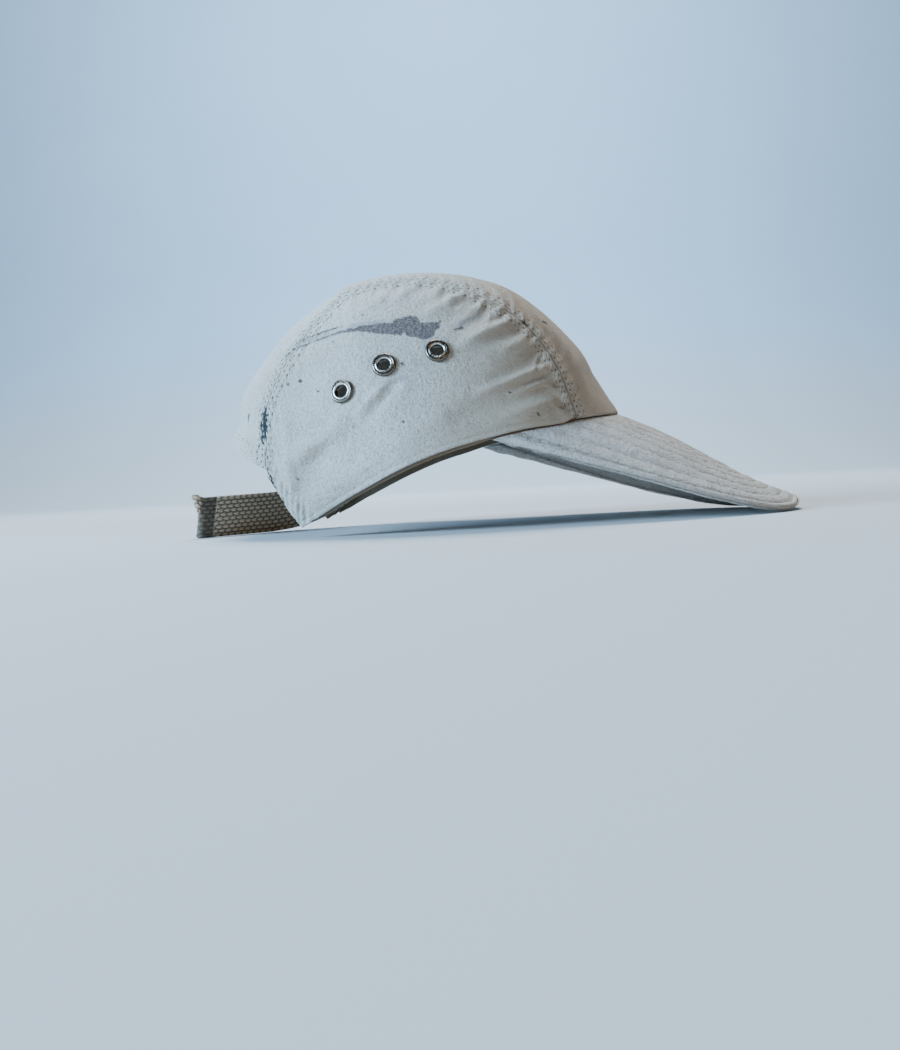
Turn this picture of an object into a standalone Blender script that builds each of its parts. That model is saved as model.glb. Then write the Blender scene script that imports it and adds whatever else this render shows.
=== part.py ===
"""The long-bill cap: a three-panel cotton crown, a long curved bill, eyelets, a sweatband and a webbing strap.

The bill points along +X, up is +Z, and the wearer's right side is at -Y. Lengths are in metres.
"""

import math

import bmesh
import bpy
import numpy as np
from mathutils import Matrix, Vector

# Crown
CROWN_RISE = 0.1379  # crown top above the surface that the cap rests on
CROWN_HALF_WIDTH = 0.0838  # widest half breadth of the crown, near its hem
SECTION_POWER = 2.5  # exponent of the crown's cross sections: 2 is an ellipse, more is boxier
CLOTH = 0.0014  # thickness of a crown panel
PIECE_GAP = 0.0004  # clearance between two sewn pieces
SEAM_PACE = 0.94  # how the grid rows gather towards the back: 1 spaces them evenly
STRIP_HALF_WIDTH = 0.040  # half breadth of the centre strip on top of the crown
STRIP_FRONT, STRIP_BACK = 28.0, 153.4  # ends of the centre strip's middle line, degrees
FRONT_SWEEP = 3.5  # how late the strip's front edge bends back towards its corners

# angle: degrees about the side-to-side axis, 0 at the front and 90 at the top
# reach: crown's outline over CROWN_RISE; breadth: over CROWN_HALF_WIDTH; strip: over STRIP_HALF_WIDTH
CROWN_SECTIONS = (
    # angle, reach, breadth, strip
    (26.0, 0.888, 0.950, 1.455),
    (33.0, 0.881, 0.957, 1.452),
    (39.0, 0.890, 0.962, 1.430),
    (45.0, 0.919, 0.968, 1.400),
    (52.0, 0.940, 0.975, 1.340),
    (60.0, 0.967, 0.983, 1.285),
    (70.0, 0.993, 0.992, 1.240),
    (80.0, 0.999, 0.999, 1.130),
    (92.0, 1.000, 1.000, 1.010),
    (104.0, 0.997, 0.993, 0.985),
    (111.0, 0.967, 0.980, 1.075),
    (120.0, 0.939, 0.962, 1.185),
    (132.0, 0.903, 0.935, 1.260),
    (141.0, 0.879, 0.912, 1.330),
    (148.0, 0.838, 0.892, 1.375),
    (154.0, 0.822, 0.874, 1.385),
    (164.0, 0.750, 0.832, 1.390),
    (176.0, 0.680, 0.785, 1.390),
)

# The hem seen from the side, both columns over CROWN_RISE, from the strip's front corner to the back corner
HEM_LINE = (
    # forward, height
    (0.580, 0.384),
    (0.509, 0.369),
    (0.434, 0.359),
    (0.361, 0.348),
    (0.270, 0.329),
    (0.182, 0.309),
    (0.076, 0.281),
    (-0.065, 0.230),
    (-0.137, 0.197),
    (-0.210, 0.161),
    (-0.267, 0.132),
    (-0.327, 0.100),
    (-0.389, 0.066),
    (-0.442, 0.037),
)

# Soft folds and hollows of a side panel, seen from the side: centre, run and height over CROWN_RISE
PANEL_FOLDS = (
    # forward, height, angle, half_run, half_width, rise, on_left
    (0.145, 0.785, 26.0, 0.080, 0.020, 0.0008, 1),
    (0.232, 0.718, 38.0, 0.075, 0.020, 0.0010, 0),
    (0.328, 0.668, 27.0, 0.085, 0.020, 0.0012, 1),
    (0.372, 0.570, 33.0, 0.110, 0.022, 0.0013, 0),
    (0.440, 0.524, 20.0, 0.120, 0.020, 0.0011, 1),
    (0.300, 0.600, 32.0, 0.120, 0.018, -0.0010, 1),
    (0.255, 0.655, 34.0, 0.110, 0.016, -0.0008, 0),
    (-0.150, 0.485, 48.0, 0.100, 0.026, -0.0011, 1),
    (-0.110, 0.470, 50.0, 0.120, 0.022, 0.0010, 1),
    (-0.385, 0.318, 58.0, 0.090, 0.060, -0.0018, 1),
    (-0.360, 0.352, 28.0, 0.120, 0.024, 0.0010, 0),
    (-0.060, 0.640, 12.0, 0.260, 0.110, -0.0010, 1),
)

# Bill
BILL_LENGTH = 0.0967  # from the crown's front to the bill's tip
BILL_BOARD = 0.0037  # thickness of the stiffened bill with its cloth
BILL_SWAY = 0.0016  # how far it swells by the crown and sinks towards the tip, off straight lines
BILL_THIN_END = 0.4  # share of the thickness that is left at the temples
BILL_THIN_RUN = 0.022  # length over which it thins

# The outer edge's top: side over the temple's breadth, forward from the temple to the tip, height over CROWN_RISE
BILL_EDGE = (
    # side, forward, height
    (0.000, 1.000, 0.0537),
    (0.130, 0.993, 0.0512),
    (0.261, 0.976, 0.0390),
    (0.418, 0.946, 0.0281),
    (0.523, 0.914, 0.0243),
    (0.601, 0.881, 0.0252),
    (0.719, 0.806, 0.0380),
    (0.791, 0.738, 0.0573),
    (0.843, 0.669, 0.0776),
    (0.902, 0.562, 0.1189),
    (0.941, 0.457, 0.1603),
    (0.967, 0.353, 0.1994),
    (0.983, 0.252, 0.2364),
    (0.993, 0.138, 0.2748),
    (0.996, 0.079, 0.2945),
    (0.999, 0.043, 0.3060),
    (1.000, 0.019, 0.3120),
)

# Sweatband
BAND_HEIGHT = 0.026
BAND_CLOTH = 0.0011
BAND_SHOWS = 0.0016  # how far the band hangs below the hem behind the bill
BAND_TUCK = 0.0012  # how far it stands above the hem over the bill
BAND_TAPER = 0.45  # share of its height that the band loses towards the back corners
BAND_GAP = 0.0006  # clearance between the band and the panels
BAND_END = 0.955  # share of the hem's way back at which the band ends

BAND_CLEAR = 0.70  # share of a panel's way down at which inward folds end, above the band

# Eyelets
EYELET_RADIUS = 0.0060
EYELET_HOLE = 0.0031
EYELET_BORE = 0.0043  # hole in the cloth that the barrel passes through
EYELET_DOME = 0.0010  # how far the rim stands out of the cloth
EYELET_WASHER = 0.0004  # thickness of the ring behind the cloth
EYELET_CLEAR = 0.0006  # clearance of the rim and the washer over the curved cloth
EYELET_SPOTS = ((-0.261, 0.516), (-0.108, 0.600), (0.083, 0.640))  # forward and height over CROWN_RISE

# Strap
WEB_WIDTH = 0.0234
WEB_THICK = 0.0017
STRAP_REACH = 0.0650  # how far the strap's end stands behind the back corner
STRAP_HEM = 0.0095  # length of the fold at the strap's free end

# The strap's lower edge: back over STRAP_REACH from the corner, side over the corner's breadth, height over
# CROWN_RISE, lean of the webbing towards the right in degrees, and how far it follows the crown's inside
STRAP_LINE = (
    # back, side, height, lean, hug
    (-0.200, 1.100, 0.104, 0.0, 1.0),
    (-0.060, 1.010, 0.066, 0.0, 1.0),
    (0.080, 0.930, 0.036, 0.0, 1.0),
    (0.220, 0.850, 0.016, -6.0, 0.0),
    (0.360, 0.755, 0.005, -2.0, 0.0),
    (0.500, 0.610, 0.000, 3.0, 0.0),
    (0.620, 0.450, 0.000, 7.0, 0.0),
    (0.740, 0.280, 0.000, 10.0, 0.0),
    (0.870, 0.120, 0.000, 13.0, 0.0),
    (1.000, -0.040, 0.000, 15.0, 0.0),
)

# Slide buckle on its tab, inside the right back corner
SLIDE_LENGTH = 0.0130
SLIDE_HEIGHT = 0.0270
SLIDE_BAR = 0.0022
SLIDE_SLOPE = 34.0  # degrees, along the panel's hem
SLIDE_INSET = 0.0078  # from the crown's outside to the middle of the slide
SLIDE_SPOT = (-0.420, 0.180)  # middle of the slide's front bar, forward and height over CROWN_RISE
TAB_LENGTH = 0.0130
TAB_CLOTH = 0.0011

BILL_END = 0.31  # share of the hem's way back at which the bill ends

# Grids: steps along and across each piece
SEAM_ROWS = 42
PANEL_ACROSS, STRIP_ACROSS = 12, 10
BILL_ALONG, BILL_ACROSS = 9, 40
BAND_FRONT, BAND_BACK, BAND_ACROSS = 12, 30, 3
STRAP_ALONG = 34
EYELET_STEPS = 16


def smooth(rows, column, at):
    """The column of a table at these places, as a curve through its rows that never swings past them."""
    table = np.array(rows, float)
    x, y = table[:, 0], table[:, column]
    if x[0] > x[-1]:
        x, y = x[::-1], y[::-1]
    step = np.diff(x)
    slope = np.diff(y) / step
    before, after = slope[:-1], slope[1:]
    same_way = before * after > 0.0
    safe = np.where(same_way, before + after, 1.0)
    inner = np.where(same_way, 2.0 * before * after / safe, 0.0)
    tangent = np.concatenate([slope[:1], inner, slope[-1:]])
    at = np.clip(np.asarray(at, float), x[0], x[-1])
    cell = np.clip(np.searchsorted(x, at, side="right") - 1, 0, len(x) - 2)
    t = (at - x[cell]) / step[cell]
    return (
        y[cell] * (1.0 + 2.0 * t) * (1.0 - t) ** 2
        + step[cell] * tangent[cell] * t * (1.0 - t) ** 2
        + y[cell + 1] * t**2 * (3.0 - 2.0 * t)
        + step[cell] * tangent[cell + 1] * t**2 * (t - 1.0)
    )


def reach_at(angle):
    return CROWN_RISE * smooth(CROWN_SECTIONS, 1, angle)


def breadth_at(angle):
    return CROWN_HALF_WIDTH * smooth(CROWN_SECTIONS, 2, angle)


def strip_at(angle):
    return STRIP_HALF_WIDTH * smooth(CROWN_SECTIONS, 3, angle)


def turn_for_side(angle, side):
    """How far round its section the crown has turned where it stands this far to the side."""
    share = np.clip(np.abs(side) / breadth_at(angle), 0.0, 1.0)
    return np.arcsin(share ** (SECTION_POWER / 2.0))


def turn_for_radius(angle, radius):
    share = np.clip(radius / reach_at(angle), 0.0, 1.0)
    return np.arccos(share ** (SECTION_POWER / 2.0))


def crown_points(angle, turn, side):
    """Points of the crown's outside: side is -1 on the wearer's right and 1 on the left."""
    power = 2.0 / SECTION_POWER
    radius = reach_at(angle) * np.cos(turn) ** power
    lateral = side * breadth_at(angle) * np.sin(turn) ** power
    heading = np.radians(angle)
    return np.stack([radius * np.cos(heading), lateral, radius * np.sin(heading)], -1)


def fold_rise(points, side):
    """How far the folds of this side's panel lift the cloth at these points."""
    rise = np.zeros(points.shape[:-1])
    for forward, height, angle, half_run, half_width, lift, on_left in PANEL_FOLDS:
        if side > 0 and not on_left:
            continue
        dx = points[..., 0] / CROWN_RISE - forward
        dz = points[..., 2] / CROWN_RISE - height
        heading = math.radians(angle)
        along = dx * math.cos(heading) + dz * math.sin(heading)
        across = dz * math.cos(heading) - dx * math.sin(heading)
        rise += lift * np.exp(-((along / half_run) ** 2) - (across / half_width) ** 2)
    return rise


def grid_normals(points):
    normal = np.cross(np.gradient(points, axis=0), np.gradient(points, axis=1))
    length = np.linalg.norm(normal, axis=-1, keepdims=True)
    return normal / np.maximum(length, 1e-12)


def facing_out(normals, points):
    """The normals, turned where they point to the crown's middle."""
    middle = np.array([0.0, 0.0, CROWN_RISE * 0.3])
    inwards = np.sum(normals * (points - middle), -1, keepdims=True) < 0.0
    return np.where(inwards, -normals, normals)


def hem_places(share):
    """Angle and turn of the hem at these shares of its way back from the strip's front corner."""
    forward = CROWN_RISE * (HEM_LINE[0][0] + (HEM_LINE[-1][0] - HEM_LINE[0][0]) * share)
    height = CROWN_RISE * smooth(HEM_LINE, 1, forward / CROWN_RISE)
    angle = np.degrees(np.arctan2(height, forward))
    return angle, turn_for_radius(angle, np.hypot(forward, height))


def panel_grid(side, along, across):
    """A side panel's outside: from the strip's seam down to the hem, row by row from front to back."""
    share = along[:, None]
    down = across[None, :]
    corner = hem_places(np.zeros(1))[0]
    seam_angle = corner + (STRIP_BACK - corner) * share**SEAM_PACE
    seam_side = strip_at(seam_angle) + PIECE_GAP / 2.0
    seam_turn = turn_for_side(seam_angle, seam_side)
    hem_angle, hem_turn = hem_places(share)
    hem_turn = seam_turn + np.maximum(hem_turn - seam_turn, 0.0) * np.clip(share * 20.0, 0.0, 1.0)
    angle = seam_angle + (hem_angle - seam_angle) * down**1.6
    turn = seam_turn + (hem_turn - seam_turn) * down
    points = crown_points(angle, turn, side)
    fade = np.clip(down * 7.0, 0.0, 1.0) * np.clip((1.0 - down) * 5.0, 0.0, 1.0)
    fade = fade * np.clip(share * 9.0, 0.0, 1.0) * np.clip((1.0 - share) * 9.0, 0.0, 1.0)
    clear_of_band = np.clip((BAND_CLEAR - down) * 8.0, 0.0, 1.0)
    rise = fold_rise(points, side)
    rise = np.maximum(rise, 0.0) + np.minimum(rise, 0.0) * clear_of_band
    return points + facing_out(grid_normals(points), points) * (rise * fade)[..., None]


def corner_point(side):
    """The outside of a back corner of the crown."""
    angle, turn = hem_places(np.array([1.0]))
    return crown_points(angle, turn, side)[0]


def temple_point(side):
    """The outside of the hem where the bill ends."""
    angle, turn = hem_places(np.array([BILL_END]))
    return crown_points(angle, turn, side)[0]


def make_object(name, points, faces, material):
    mesh = bpy.data.meshes.new(name)
    mesh.from_pydata([tuple(p) for p in points], [], faces)
    mesh.update()
    made = bpy.data.objects.new(name, mesh)
    made.data.materials.append(material)
    return made


def grid_faces(grid, outward):
    """Quads over a grid of points, turned so that most of them face the outward directions."""
    rows, columns = grid.shape[:2]
    normals = grid_normals(grid)
    flip = np.sum(normals * outward) < 0.0
    faces = []
    for i in range(rows - 1):
        for j in range(columns - 1):
            a = i * columns + j
            corner = (a, a + columns, a + columns + 1, a + 1)
            faces.append(corner[::-1] if flip else corner)
    return faces


def merge_points(made, distance):
    work = bmesh.new()
    work.from_mesh(made.data)
    bmesh.ops.remove_doubles(work, verts=work.verts, dist=distance)
    work.to_mesh(made.data)
    work.free()


def sheet(name, grid, outward, thickness, material):
    """A cloth piece: its outside as an open grid, thickened inwards."""
    made = make_object(name, grid.reshape(-1, 3), grid_faces(grid, outward), material)
    merge_points(made, 1e-5)
    wall = made.modifiers.new("wall", "SOLIDIFY")
    wall.thickness = thickness
    wall.offset = -1.0
    wall.use_even_offset = False
    return made


def make_material(name, colour, roughness, metallic):
    made = bpy.data.materials.new(name)
    made.use_nodes = True
    shader = made.node_tree.nodes["Principled BSDF"]
    shader.inputs["Base Color"].default_value = (*colour, 1.0)
    shader.inputs["Roughness"].default_value = roughness
    shader.inputs["Metallic"].default_value = metallic
    return made


def strip_front(across):
    """Where the strip's front edge stands at these shares of its half breadth, in degrees."""
    corner = hem_places(np.zeros(1))[0]
    return STRIP_FRONT + (corner - STRIP_FRONT) * np.abs(across) ** FRONT_SWEEP


def centre_strip(material):
    along = np.linspace(0.0, 1.0, SEAM_ROWS)[:, None]
    across = np.linspace(-1.0, 1.0, STRIP_ACROSS + 1)[None, :]
    start = strip_front(across)
    angle = start + (STRIP_BACK - start) * along**SEAM_PACE
    side = across * (strip_at(angle) - PIECE_GAP / 2.0)
    grid = crown_points(angle, turn_for_side(angle, side), np.sign(side))
    return sheet("centre_strip", grid, from_middle(grid), CLOTH, material)


def from_middle(grid):
    return grid - np.array([0.0, 0.0, CROWN_RISE * 0.3])


def side_panel(name, side, material, cutters):
    grid = panel_grid(side, np.linspace(0.0, 1.0, SEAM_ROWS), np.linspace(0.0, 1.0, PANEL_ACROSS + 1))
    made = sheet(name, grid, from_middle(grid), CLOTH, material)
    for place in eyelet_frames(side):
        cutter = disc_cutter(f"{name}_cutter_{len(cutters)}", place)
        cutters.append(cutter)
        bore = made.modifiers.new("eyelet_hole", "BOOLEAN")
        bore.object = cutter
        bore.operation = "DIFFERENCE"
        bore.solver = "EXACT"
    return made


def eyelet_frames(side):
    """Where the eyelets of one side sit: a matrix each, with its Z axis out of the cloth."""
    along, across = np.linspace(0.0, 1.0, 301), np.linspace(0.0, 1.0, 161)
    grid = panel_grid(side, along, across)
    normals = facing_out(grid_normals(grid), grid)
    frames = []
    for forward, height in EYELET_SPOTS:
        off = np.hypot(grid[..., 0] - forward * CROWN_RISE, grid[..., 2] - height * CROWN_RISE)
        i, j = np.unravel_index(np.argmin(off), off.shape)
        out = Vector(normals[i, j])
        turn = Vector((0.0, 0.0, 1.0)).rotation_difference(out).to_matrix().to_4x4()
        frames.append(Matrix.Translation(Vector(grid[i, j])) @ turn)
    return frames


def disc_cutter(name, frame):
    work = bmesh.new()
    bmesh.ops.create_cone(
        work,
        cap_ends=True,
        segments=16,
        radius1=EYELET_BORE,
        radius2=EYELET_BORE,
        depth=EYELET_BORE * 3.0,
    )
    mesh = bpy.data.meshes.new(name)
    work.to_mesh(mesh)
    work.free()
    made = bpy.data.objects.new(name, mesh)
    made.matrix_world = frame
    return made


def eyelet(name, frame, material):
    """A rolled eyelet: a domed rim outside, a barrel through the cloth and a washer behind it, turned in one."""
    wall = (EYELET_RADIUS - EYELET_HOLE) * 0.24
    barrel = EYELET_HOLE + wall
    top = EYELET_CLEAR + EYELET_DOME
    washer = -CLOTH - EYELET_CLEAR
    profile = (
        (EYELET_HOLE, EYELET_CLEAR),
        (EYELET_HOLE + wall, top),
        (EYELET_RADIUS - wall * 1.5, top),
        (EYELET_RADIUS, EYELET_CLEAR + EYELET_DOME * 0.3),
        (EYELET_RADIUS - wall * 0.3, EYELET_CLEAR),
        (barrel, EYELET_CLEAR),
        (barrel, washer),
        (EYELET_RADIUS - wall, washer),
        (EYELET_RADIUS - wall, washer - EYELET_WASHER),
        (EYELET_HOLE, washer - EYELET_WASHER),
    )
    mesh = bpy.data.meshes.new(name)
    count = len(profile)
    mesh.from_pydata([(r, 0.0, h) for r, h in profile], [((i + 1) % count, i) for i in range(count)], [])
    made = bpy.data.objects.new(name, mesh)
    made.data.materials.append(material)
    turned = made.modifiers.new("turned", "SCREW")
    turned.angle = math.tau
    turned.steps = turned.render_steps = EYELET_STEPS
    turned.use_merge_vertices = True
    turned.merge_threshold = 0.0001
    turned.use_normal_flip = True
    made.matrix_world = frame
    return made


def hem_curve(side_share):
    """The hem's outside, front half, at these signed shares of the temple's breadth."""
    along = np.linspace(0.0, BILL_END, 400)
    angle, turn = hem_places(along)
    points = crown_points(angle, turn, 1.0)
    across = np.linspace(0.0, 1.0, 60)[:-1]
    front_angle = strip_front(across)
    front_turn = turn_for_side(front_angle, across * strip_at(front_angle))
    front = crown_points(front_angle, front_turn, 1.0)
    points = np.concatenate([front, points])
    temple = points[-1, 1]
    wanted = np.abs(side_share) * temple
    forward = np.interp(wanted, points[:, 1], points[:, 0])
    height = np.interp(wanted, points[:, 1], points[:, 2])
    return np.stack([forward, side_share * temple, height], -1), temple


def edge_points(share, rear, tip, temple):
    """The top of the bill's outer edge, left half, at these shares of the temple's breadth."""
    forward = rear + (tip - rear) * smooth(BILL_EDGE, 1, share)
    return np.stack([forward, share * temple, CROWN_RISE * smooth(BILL_EDGE, 2, share)], -1)


def even_shares(across, rear, tip, temple):
    """Signed side shares that space the bill's edge evenly, from -1 at the right temple to 1 at the left."""
    share = np.sin(np.linspace(0.0, math.pi / 2.0, 600))
    edge = edge_points(share, rear, tip, temple)
    run = np.concatenate([[0.0], np.cumsum(np.linalg.norm(np.diff(edge, axis=0), axis=1))])
    return np.sign(across) * np.interp(np.abs(across) * run[-1], run, share)


def bill_grid(along, across):
    """The bill's top from the crown's hem to its outer edge, by lines that run forwards."""
    front, temple = hem_curve(np.zeros(1))
    rear, tip = temple_point(1.0)[0], front[0, 0] + BILL_LENGTH
    side_share = even_shares(across, rear, tip, temple)
    start = hem_curve(side_share)[0]
    round_ = np.gradient(start[:, :2], axis=0)
    round_ /= np.linalg.norm(round_, axis=1, keepdims=True)
    start[:, 0] -= round_[:, 1] * CLOTH * 0.5
    start[:, 1] += round_[:, 0] * CLOTH * 0.5
    start[:, 2] -= CLOTH * 0.57 + PIECE_GAP * 1.6
    share = np.abs(side_share)
    end = edge_points(share, rear, tip, temple)
    end[:, 1] = np.sign(side_share) * (end[:, 1] - CLOTH * 0.5)
    t = along[:, None, None]
    grid = start[None] + (end - start)[None] * t
    grid[..., 2] += BILL_SWAY * np.sin(math.tau * t)[..., 0] * (1.0 - share[None] ** 2)
    return grid


def bill(material):
    """The stiffened bill, which thins to its ends at the temples."""
    grid = bill_grid(np.linspace(0.0, 1.0, BILL_ALONG), np.linspace(-1.0, 1.0, BILL_ACROSS + 1))
    made = sheet("bill", grid, np.array([0.0, 0.0, 1.0]), BILL_BOARD, material)
    group = made.vertex_groups.new(name="board")
    rear = temple_point(1.0)[0]
    for vertex in made.data.vertices:
        full = min(max((vertex.co.x - rear) / BILL_THIN_RUN, 0.0), 1.0)
        group.add([vertex.index], BILL_THIN_END + (1.0 - BILL_THIN_END) * full, "REPLACE")
    made.modifiers["wall"].vertex_group = group.name
    return made


def sweatband(material):
    """A band inside the hem, from one back corner round the front to the other."""
    front = np.linspace(0.0, 1.0, BAND_FRONT)[1:-1]
    front_angle = strip_front(front)
    front_turn = turn_for_side(front_angle, front * strip_at(front_angle))
    back = np.linspace(0.0, BAND_END, BAND_BACK)
    hem_angle, hem_turn = hem_places(back)
    angle = np.concatenate([[STRIP_FRONT], front_angle, hem_angle])
    turn = np.concatenate([[0.0], front_turn, hem_turn])
    place = np.concatenate([np.zeros(len(front) + 1), back])
    hem = crown_points(angle, turn, 1.0)
    hang = np.clip((place - BILL_END - 0.01) / 0.06, 0.0, 1.0) * np.clip((BAND_END - place) / 0.05, 0.0, 1.0)
    lowest = BAND_TUCK - (BAND_SHOWS + BAND_TUCK) * hang
    height = BAND_HEIGHT * (1.0 - BAND_TAPER * np.clip((place - 0.7) / (BAND_END - 0.7), 0.0, 1.0))
    rows = []
    for share in np.linspace(0.0, 1.0, BAND_ACROSS + 1):
        lifted = hem.copy()
        lifted[:, 2] += lowest + (height - lowest) * share
        rows.append(project_to_crown(lifted))
    half = np.stack(rows, 1)
    other = half[:0:-1].copy()
    other[..., 1] *= -1.0
    grid = np.concatenate([other, half])
    normals = facing_out(grid_normals(grid), grid)
    grid = grid - normals * (CLOTH + BAND_GAP)
    return sheet("sweatband", grid, from_middle(grid), BAND_CLOTH, material)


def project_to_crown(points):
    """The points moved sideways or out from the middle until they lie on the crown."""
    radius = np.hypot(points[..., 0], points[..., 2])
    angle = np.degrees(np.arctan2(points[..., 2], points[..., 0]))
    reach, breadth = reach_at(angle), breadth_at(angle)
    share = (radius / reach) ** SECTION_POWER + (np.abs(points[..., 1]) / breadth) ** SECTION_POWER
    return points * (share ** (-1.0 / SECTION_POWER))[..., None]


def inside_at(forward, height):
    """How far to the side the crown's outside stands at this place seen from the side."""
    angle = np.degrees(np.arctan2(height, forward))
    share = np.clip(np.hypot(forward, height) / reach_at(angle), 0.0, 1.0)
    return breadth_at(angle) * (1.0 - share**SECTION_POWER) ** (1.0 / SECTION_POWER)


def strap_edges(count):
    """The strap's lower and upper edges, from its sewn end to its free end."""
    back = np.linspace(STRAP_LINE[0][0], STRAP_LINE[-1][0], count)
    corner = corner_point(1.0)
    forward = corner[0] - back * STRAP_REACH
    side = corner[1] * smooth(STRAP_LINE, 1, back)
    height = CROWN_RISE * smooth(STRAP_LINE, 2, back)
    lean = np.radians(smooth(STRAP_LINE, 3, back))
    hug = smooth(STRAP_LINE, 4, back)
    inset = CLOTH + BAND_GAP + BAND_CLOTH + BAND_GAP + WEB_THICK / 2.0
    top_height = height + WEB_WIDTH * np.cos(lean)
    top_side = side - WEB_WIDTH * np.sin(lean)
    low_hug = inside_at(forward, height) - inset
    top_hug = inside_at(forward, top_height) - inset
    low = np.stack([forward, side + (low_hug - side) * hug, height], -1)
    top = np.stack([forward, top_side + (top_hug - top_side) * hug, top_height], -1)
    return low, top


def strap(material):
    """Webbing set on edge: its lower edge lies flat on the surface under the cap, and its free end is folded double."""
    low, top = strap_edges(STRAP_ALONG)
    run = np.concatenate([[0.0], np.cumsum(np.linalg.norm(np.diff(low[:, :2], axis=0), axis=1))])
    from_end = run[-1] - run
    tangent = np.gradient(low[:, :2], axis=0)
    tangent /= np.linalg.norm(tangent, axis=1, keepdims=True)
    outer = np.stack([tangent[:, 1], -tangent[:, 0], np.zeros(len(tangent))], -1)
    folded = np.clip((STRAP_HEM - from_end) / 0.0012, 0.0, 1.0)
    half = WEB_THICK / 2.0
    outside = (half + (WEB_THICK + 0.0002) * folded)[:, None] * outer
    corners = np.stack([low - outer * half, low + outside, top + outside, top - outer * half], 1)
    count = len(low)
    faces = [(3, 2, 1, 0), tuple(4 * (count - 1) + k for k in range(4))]
    for i in range(count - 1):
        for k in range(4):
            a, b = 4 * i + k, 4 * i + (k + 1) % 4
            faces.append((a, b, b + 4, a + 4))
    made = make_object("strap", corners.reshape(-1, 3), faces, material)
    face_out(made)
    return made


def face_out(made):
    """Turns a closed body's faces outwards."""
    work = bmesh.new()
    work.from_mesh(made.data)
    bmesh.ops.recalc_face_normals(work, faces=work.faces)
    work.to_mesh(made.data)
    work.free()


def slide_frame():
    """The slide's own axes: X back along the hem, Y out of the cap, Z across the strap."""
    forward, height = SLIDE_SPOT[0] * CROWN_RISE, SLIDE_SPOT[1] * CROWN_RISE
    spot = np.array([forward, -inside_at(forward, height), height])
    step = 0.004
    ahead = np.array([forward + step, -inside_at(forward + step, height), height])
    above = np.array([forward, -inside_at(forward, height + step), height + step])
    out = Vector(np.cross(ahead - spot, above - spot)).normalized()
    if out.y > 0.0:
        out.negate()
    slope = math.radians(SLIDE_SLOPE)
    run = Vector((-math.cos(slope), 0.0, -math.sin(slope)))
    run = (run - out * run.dot(out)).normalized()
    turn = Matrix((run, out, run.cross(out))).transposed().to_4x4()
    return Matrix.Translation(Vector(spot) - out * SLIDE_INSET) @ turn


def box_object(name, low, high, material):
    work = bmesh.new()
    size = [b - a for a, b in zip(low, high)]
    middle = [(a + b) / 2.0 for a, b in zip(low, high)]
    bmesh.ops.create_cube(work, size=1.0, matrix=Matrix.Translation(middle) @ Matrix.Diagonal((*size, 1.0)))
    mesh = bpy.data.meshes.new(name)
    work.to_mesh(mesh)
    work.free()
    made = bpy.data.objects.new(name, mesh)
    if material:
        made.data.materials.append(material)
    return made


def slide_buckle(material, cutters):
    """A plain flat frame with a middle bar: its front bar lies at the frame's origin, inside the tab's loop."""
    half_height, half_bar = SLIDE_HEIGHT / 2.0, SLIDE_BAR / 2.0
    place = slide_frame()
    end = SLIDE_LENGTH - half_bar
    made = box_object("slide_buckle", (-half_bar, -half_bar, -half_height), (end, half_bar, half_height), material)
    made.matrix_world = place
    window = (SLIDE_LENGTH - 3.0 * SLIDE_BAR) / 2.0
    for number in range(2):
        start = half_bar + number * (window + SLIDE_BAR)
        low = (start, -SLIDE_BAR * 2.0, -half_height + SLIDE_BAR)
        high = (start + window, SLIDE_BAR * 2.0, half_height - SLIDE_BAR)
        cutter = box_object(f"slide_cutter_{number}", low, high, None)
        cutter.matrix_world = place
        cutters.append(cutter)
        opening = made.modifiers.new("window", "BOOLEAN")
        opening.object = cutter
        opening.operation = "DIFFERENCE"
        opening.solver = "EXACT"
    return made


def slide_tab(material):
    """A tape folded round the slide's front bar, both ends sewn inside the right back corner."""
    clear = SLIDE_BAR / 2.0 * 1.42 + PIECE_GAP
    bend = np.linspace(-90.0, 90.0, 9)
    arc = np.stack([clear * np.cos(np.radians(bend)), clear * np.sin(np.radians(bend))], -1)
    line = np.concatenate([[[-TAB_LENGTH, -clear]], arc, [[-TAB_LENGTH, clear]]])
    half = SLIDE_HEIGHT / 2.0 - SLIDE_BAR - PIECE_GAP * 2.0
    grid = np.stack([np.column_stack([line, np.full(len(line), h)]) for h in (-half, half)], 1)
    outward = np.stack([line, line], 1)
    outward = np.concatenate([outward * np.array([0.0, 1.0]), np.zeros((*outward.shape[:2], 1))], -1)
    made = sheet("slide_tab", grid, outward, TAB_CLOTH, material)
    made.modifiers["wall"].offset = 1.0
    made.matrix_world = slide_frame()
    return made


def rest_origin(pieces):
    """Moves every piece so that the origin is the middle of the cap's box on the surface under it."""
    bpy.context.view_layer.update()
    graph = bpy.context.evaluated_depsgraph_get()
    corners = []
    for piece in pieces:
        done = piece.evaluated_get(graph)
        mesh = done.to_mesh()
        corners += [done.matrix_world @ v.co for v in mesh.vertices]
        done.to_mesh_clear()
    corners = np.array(corners)
    low, high = corners.min(0), corners.max(0)
    return Vector((-(low[0] + high[0]) / 2.0, -(low[1] + high[1]) / 2.0, -low[2]))


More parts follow.
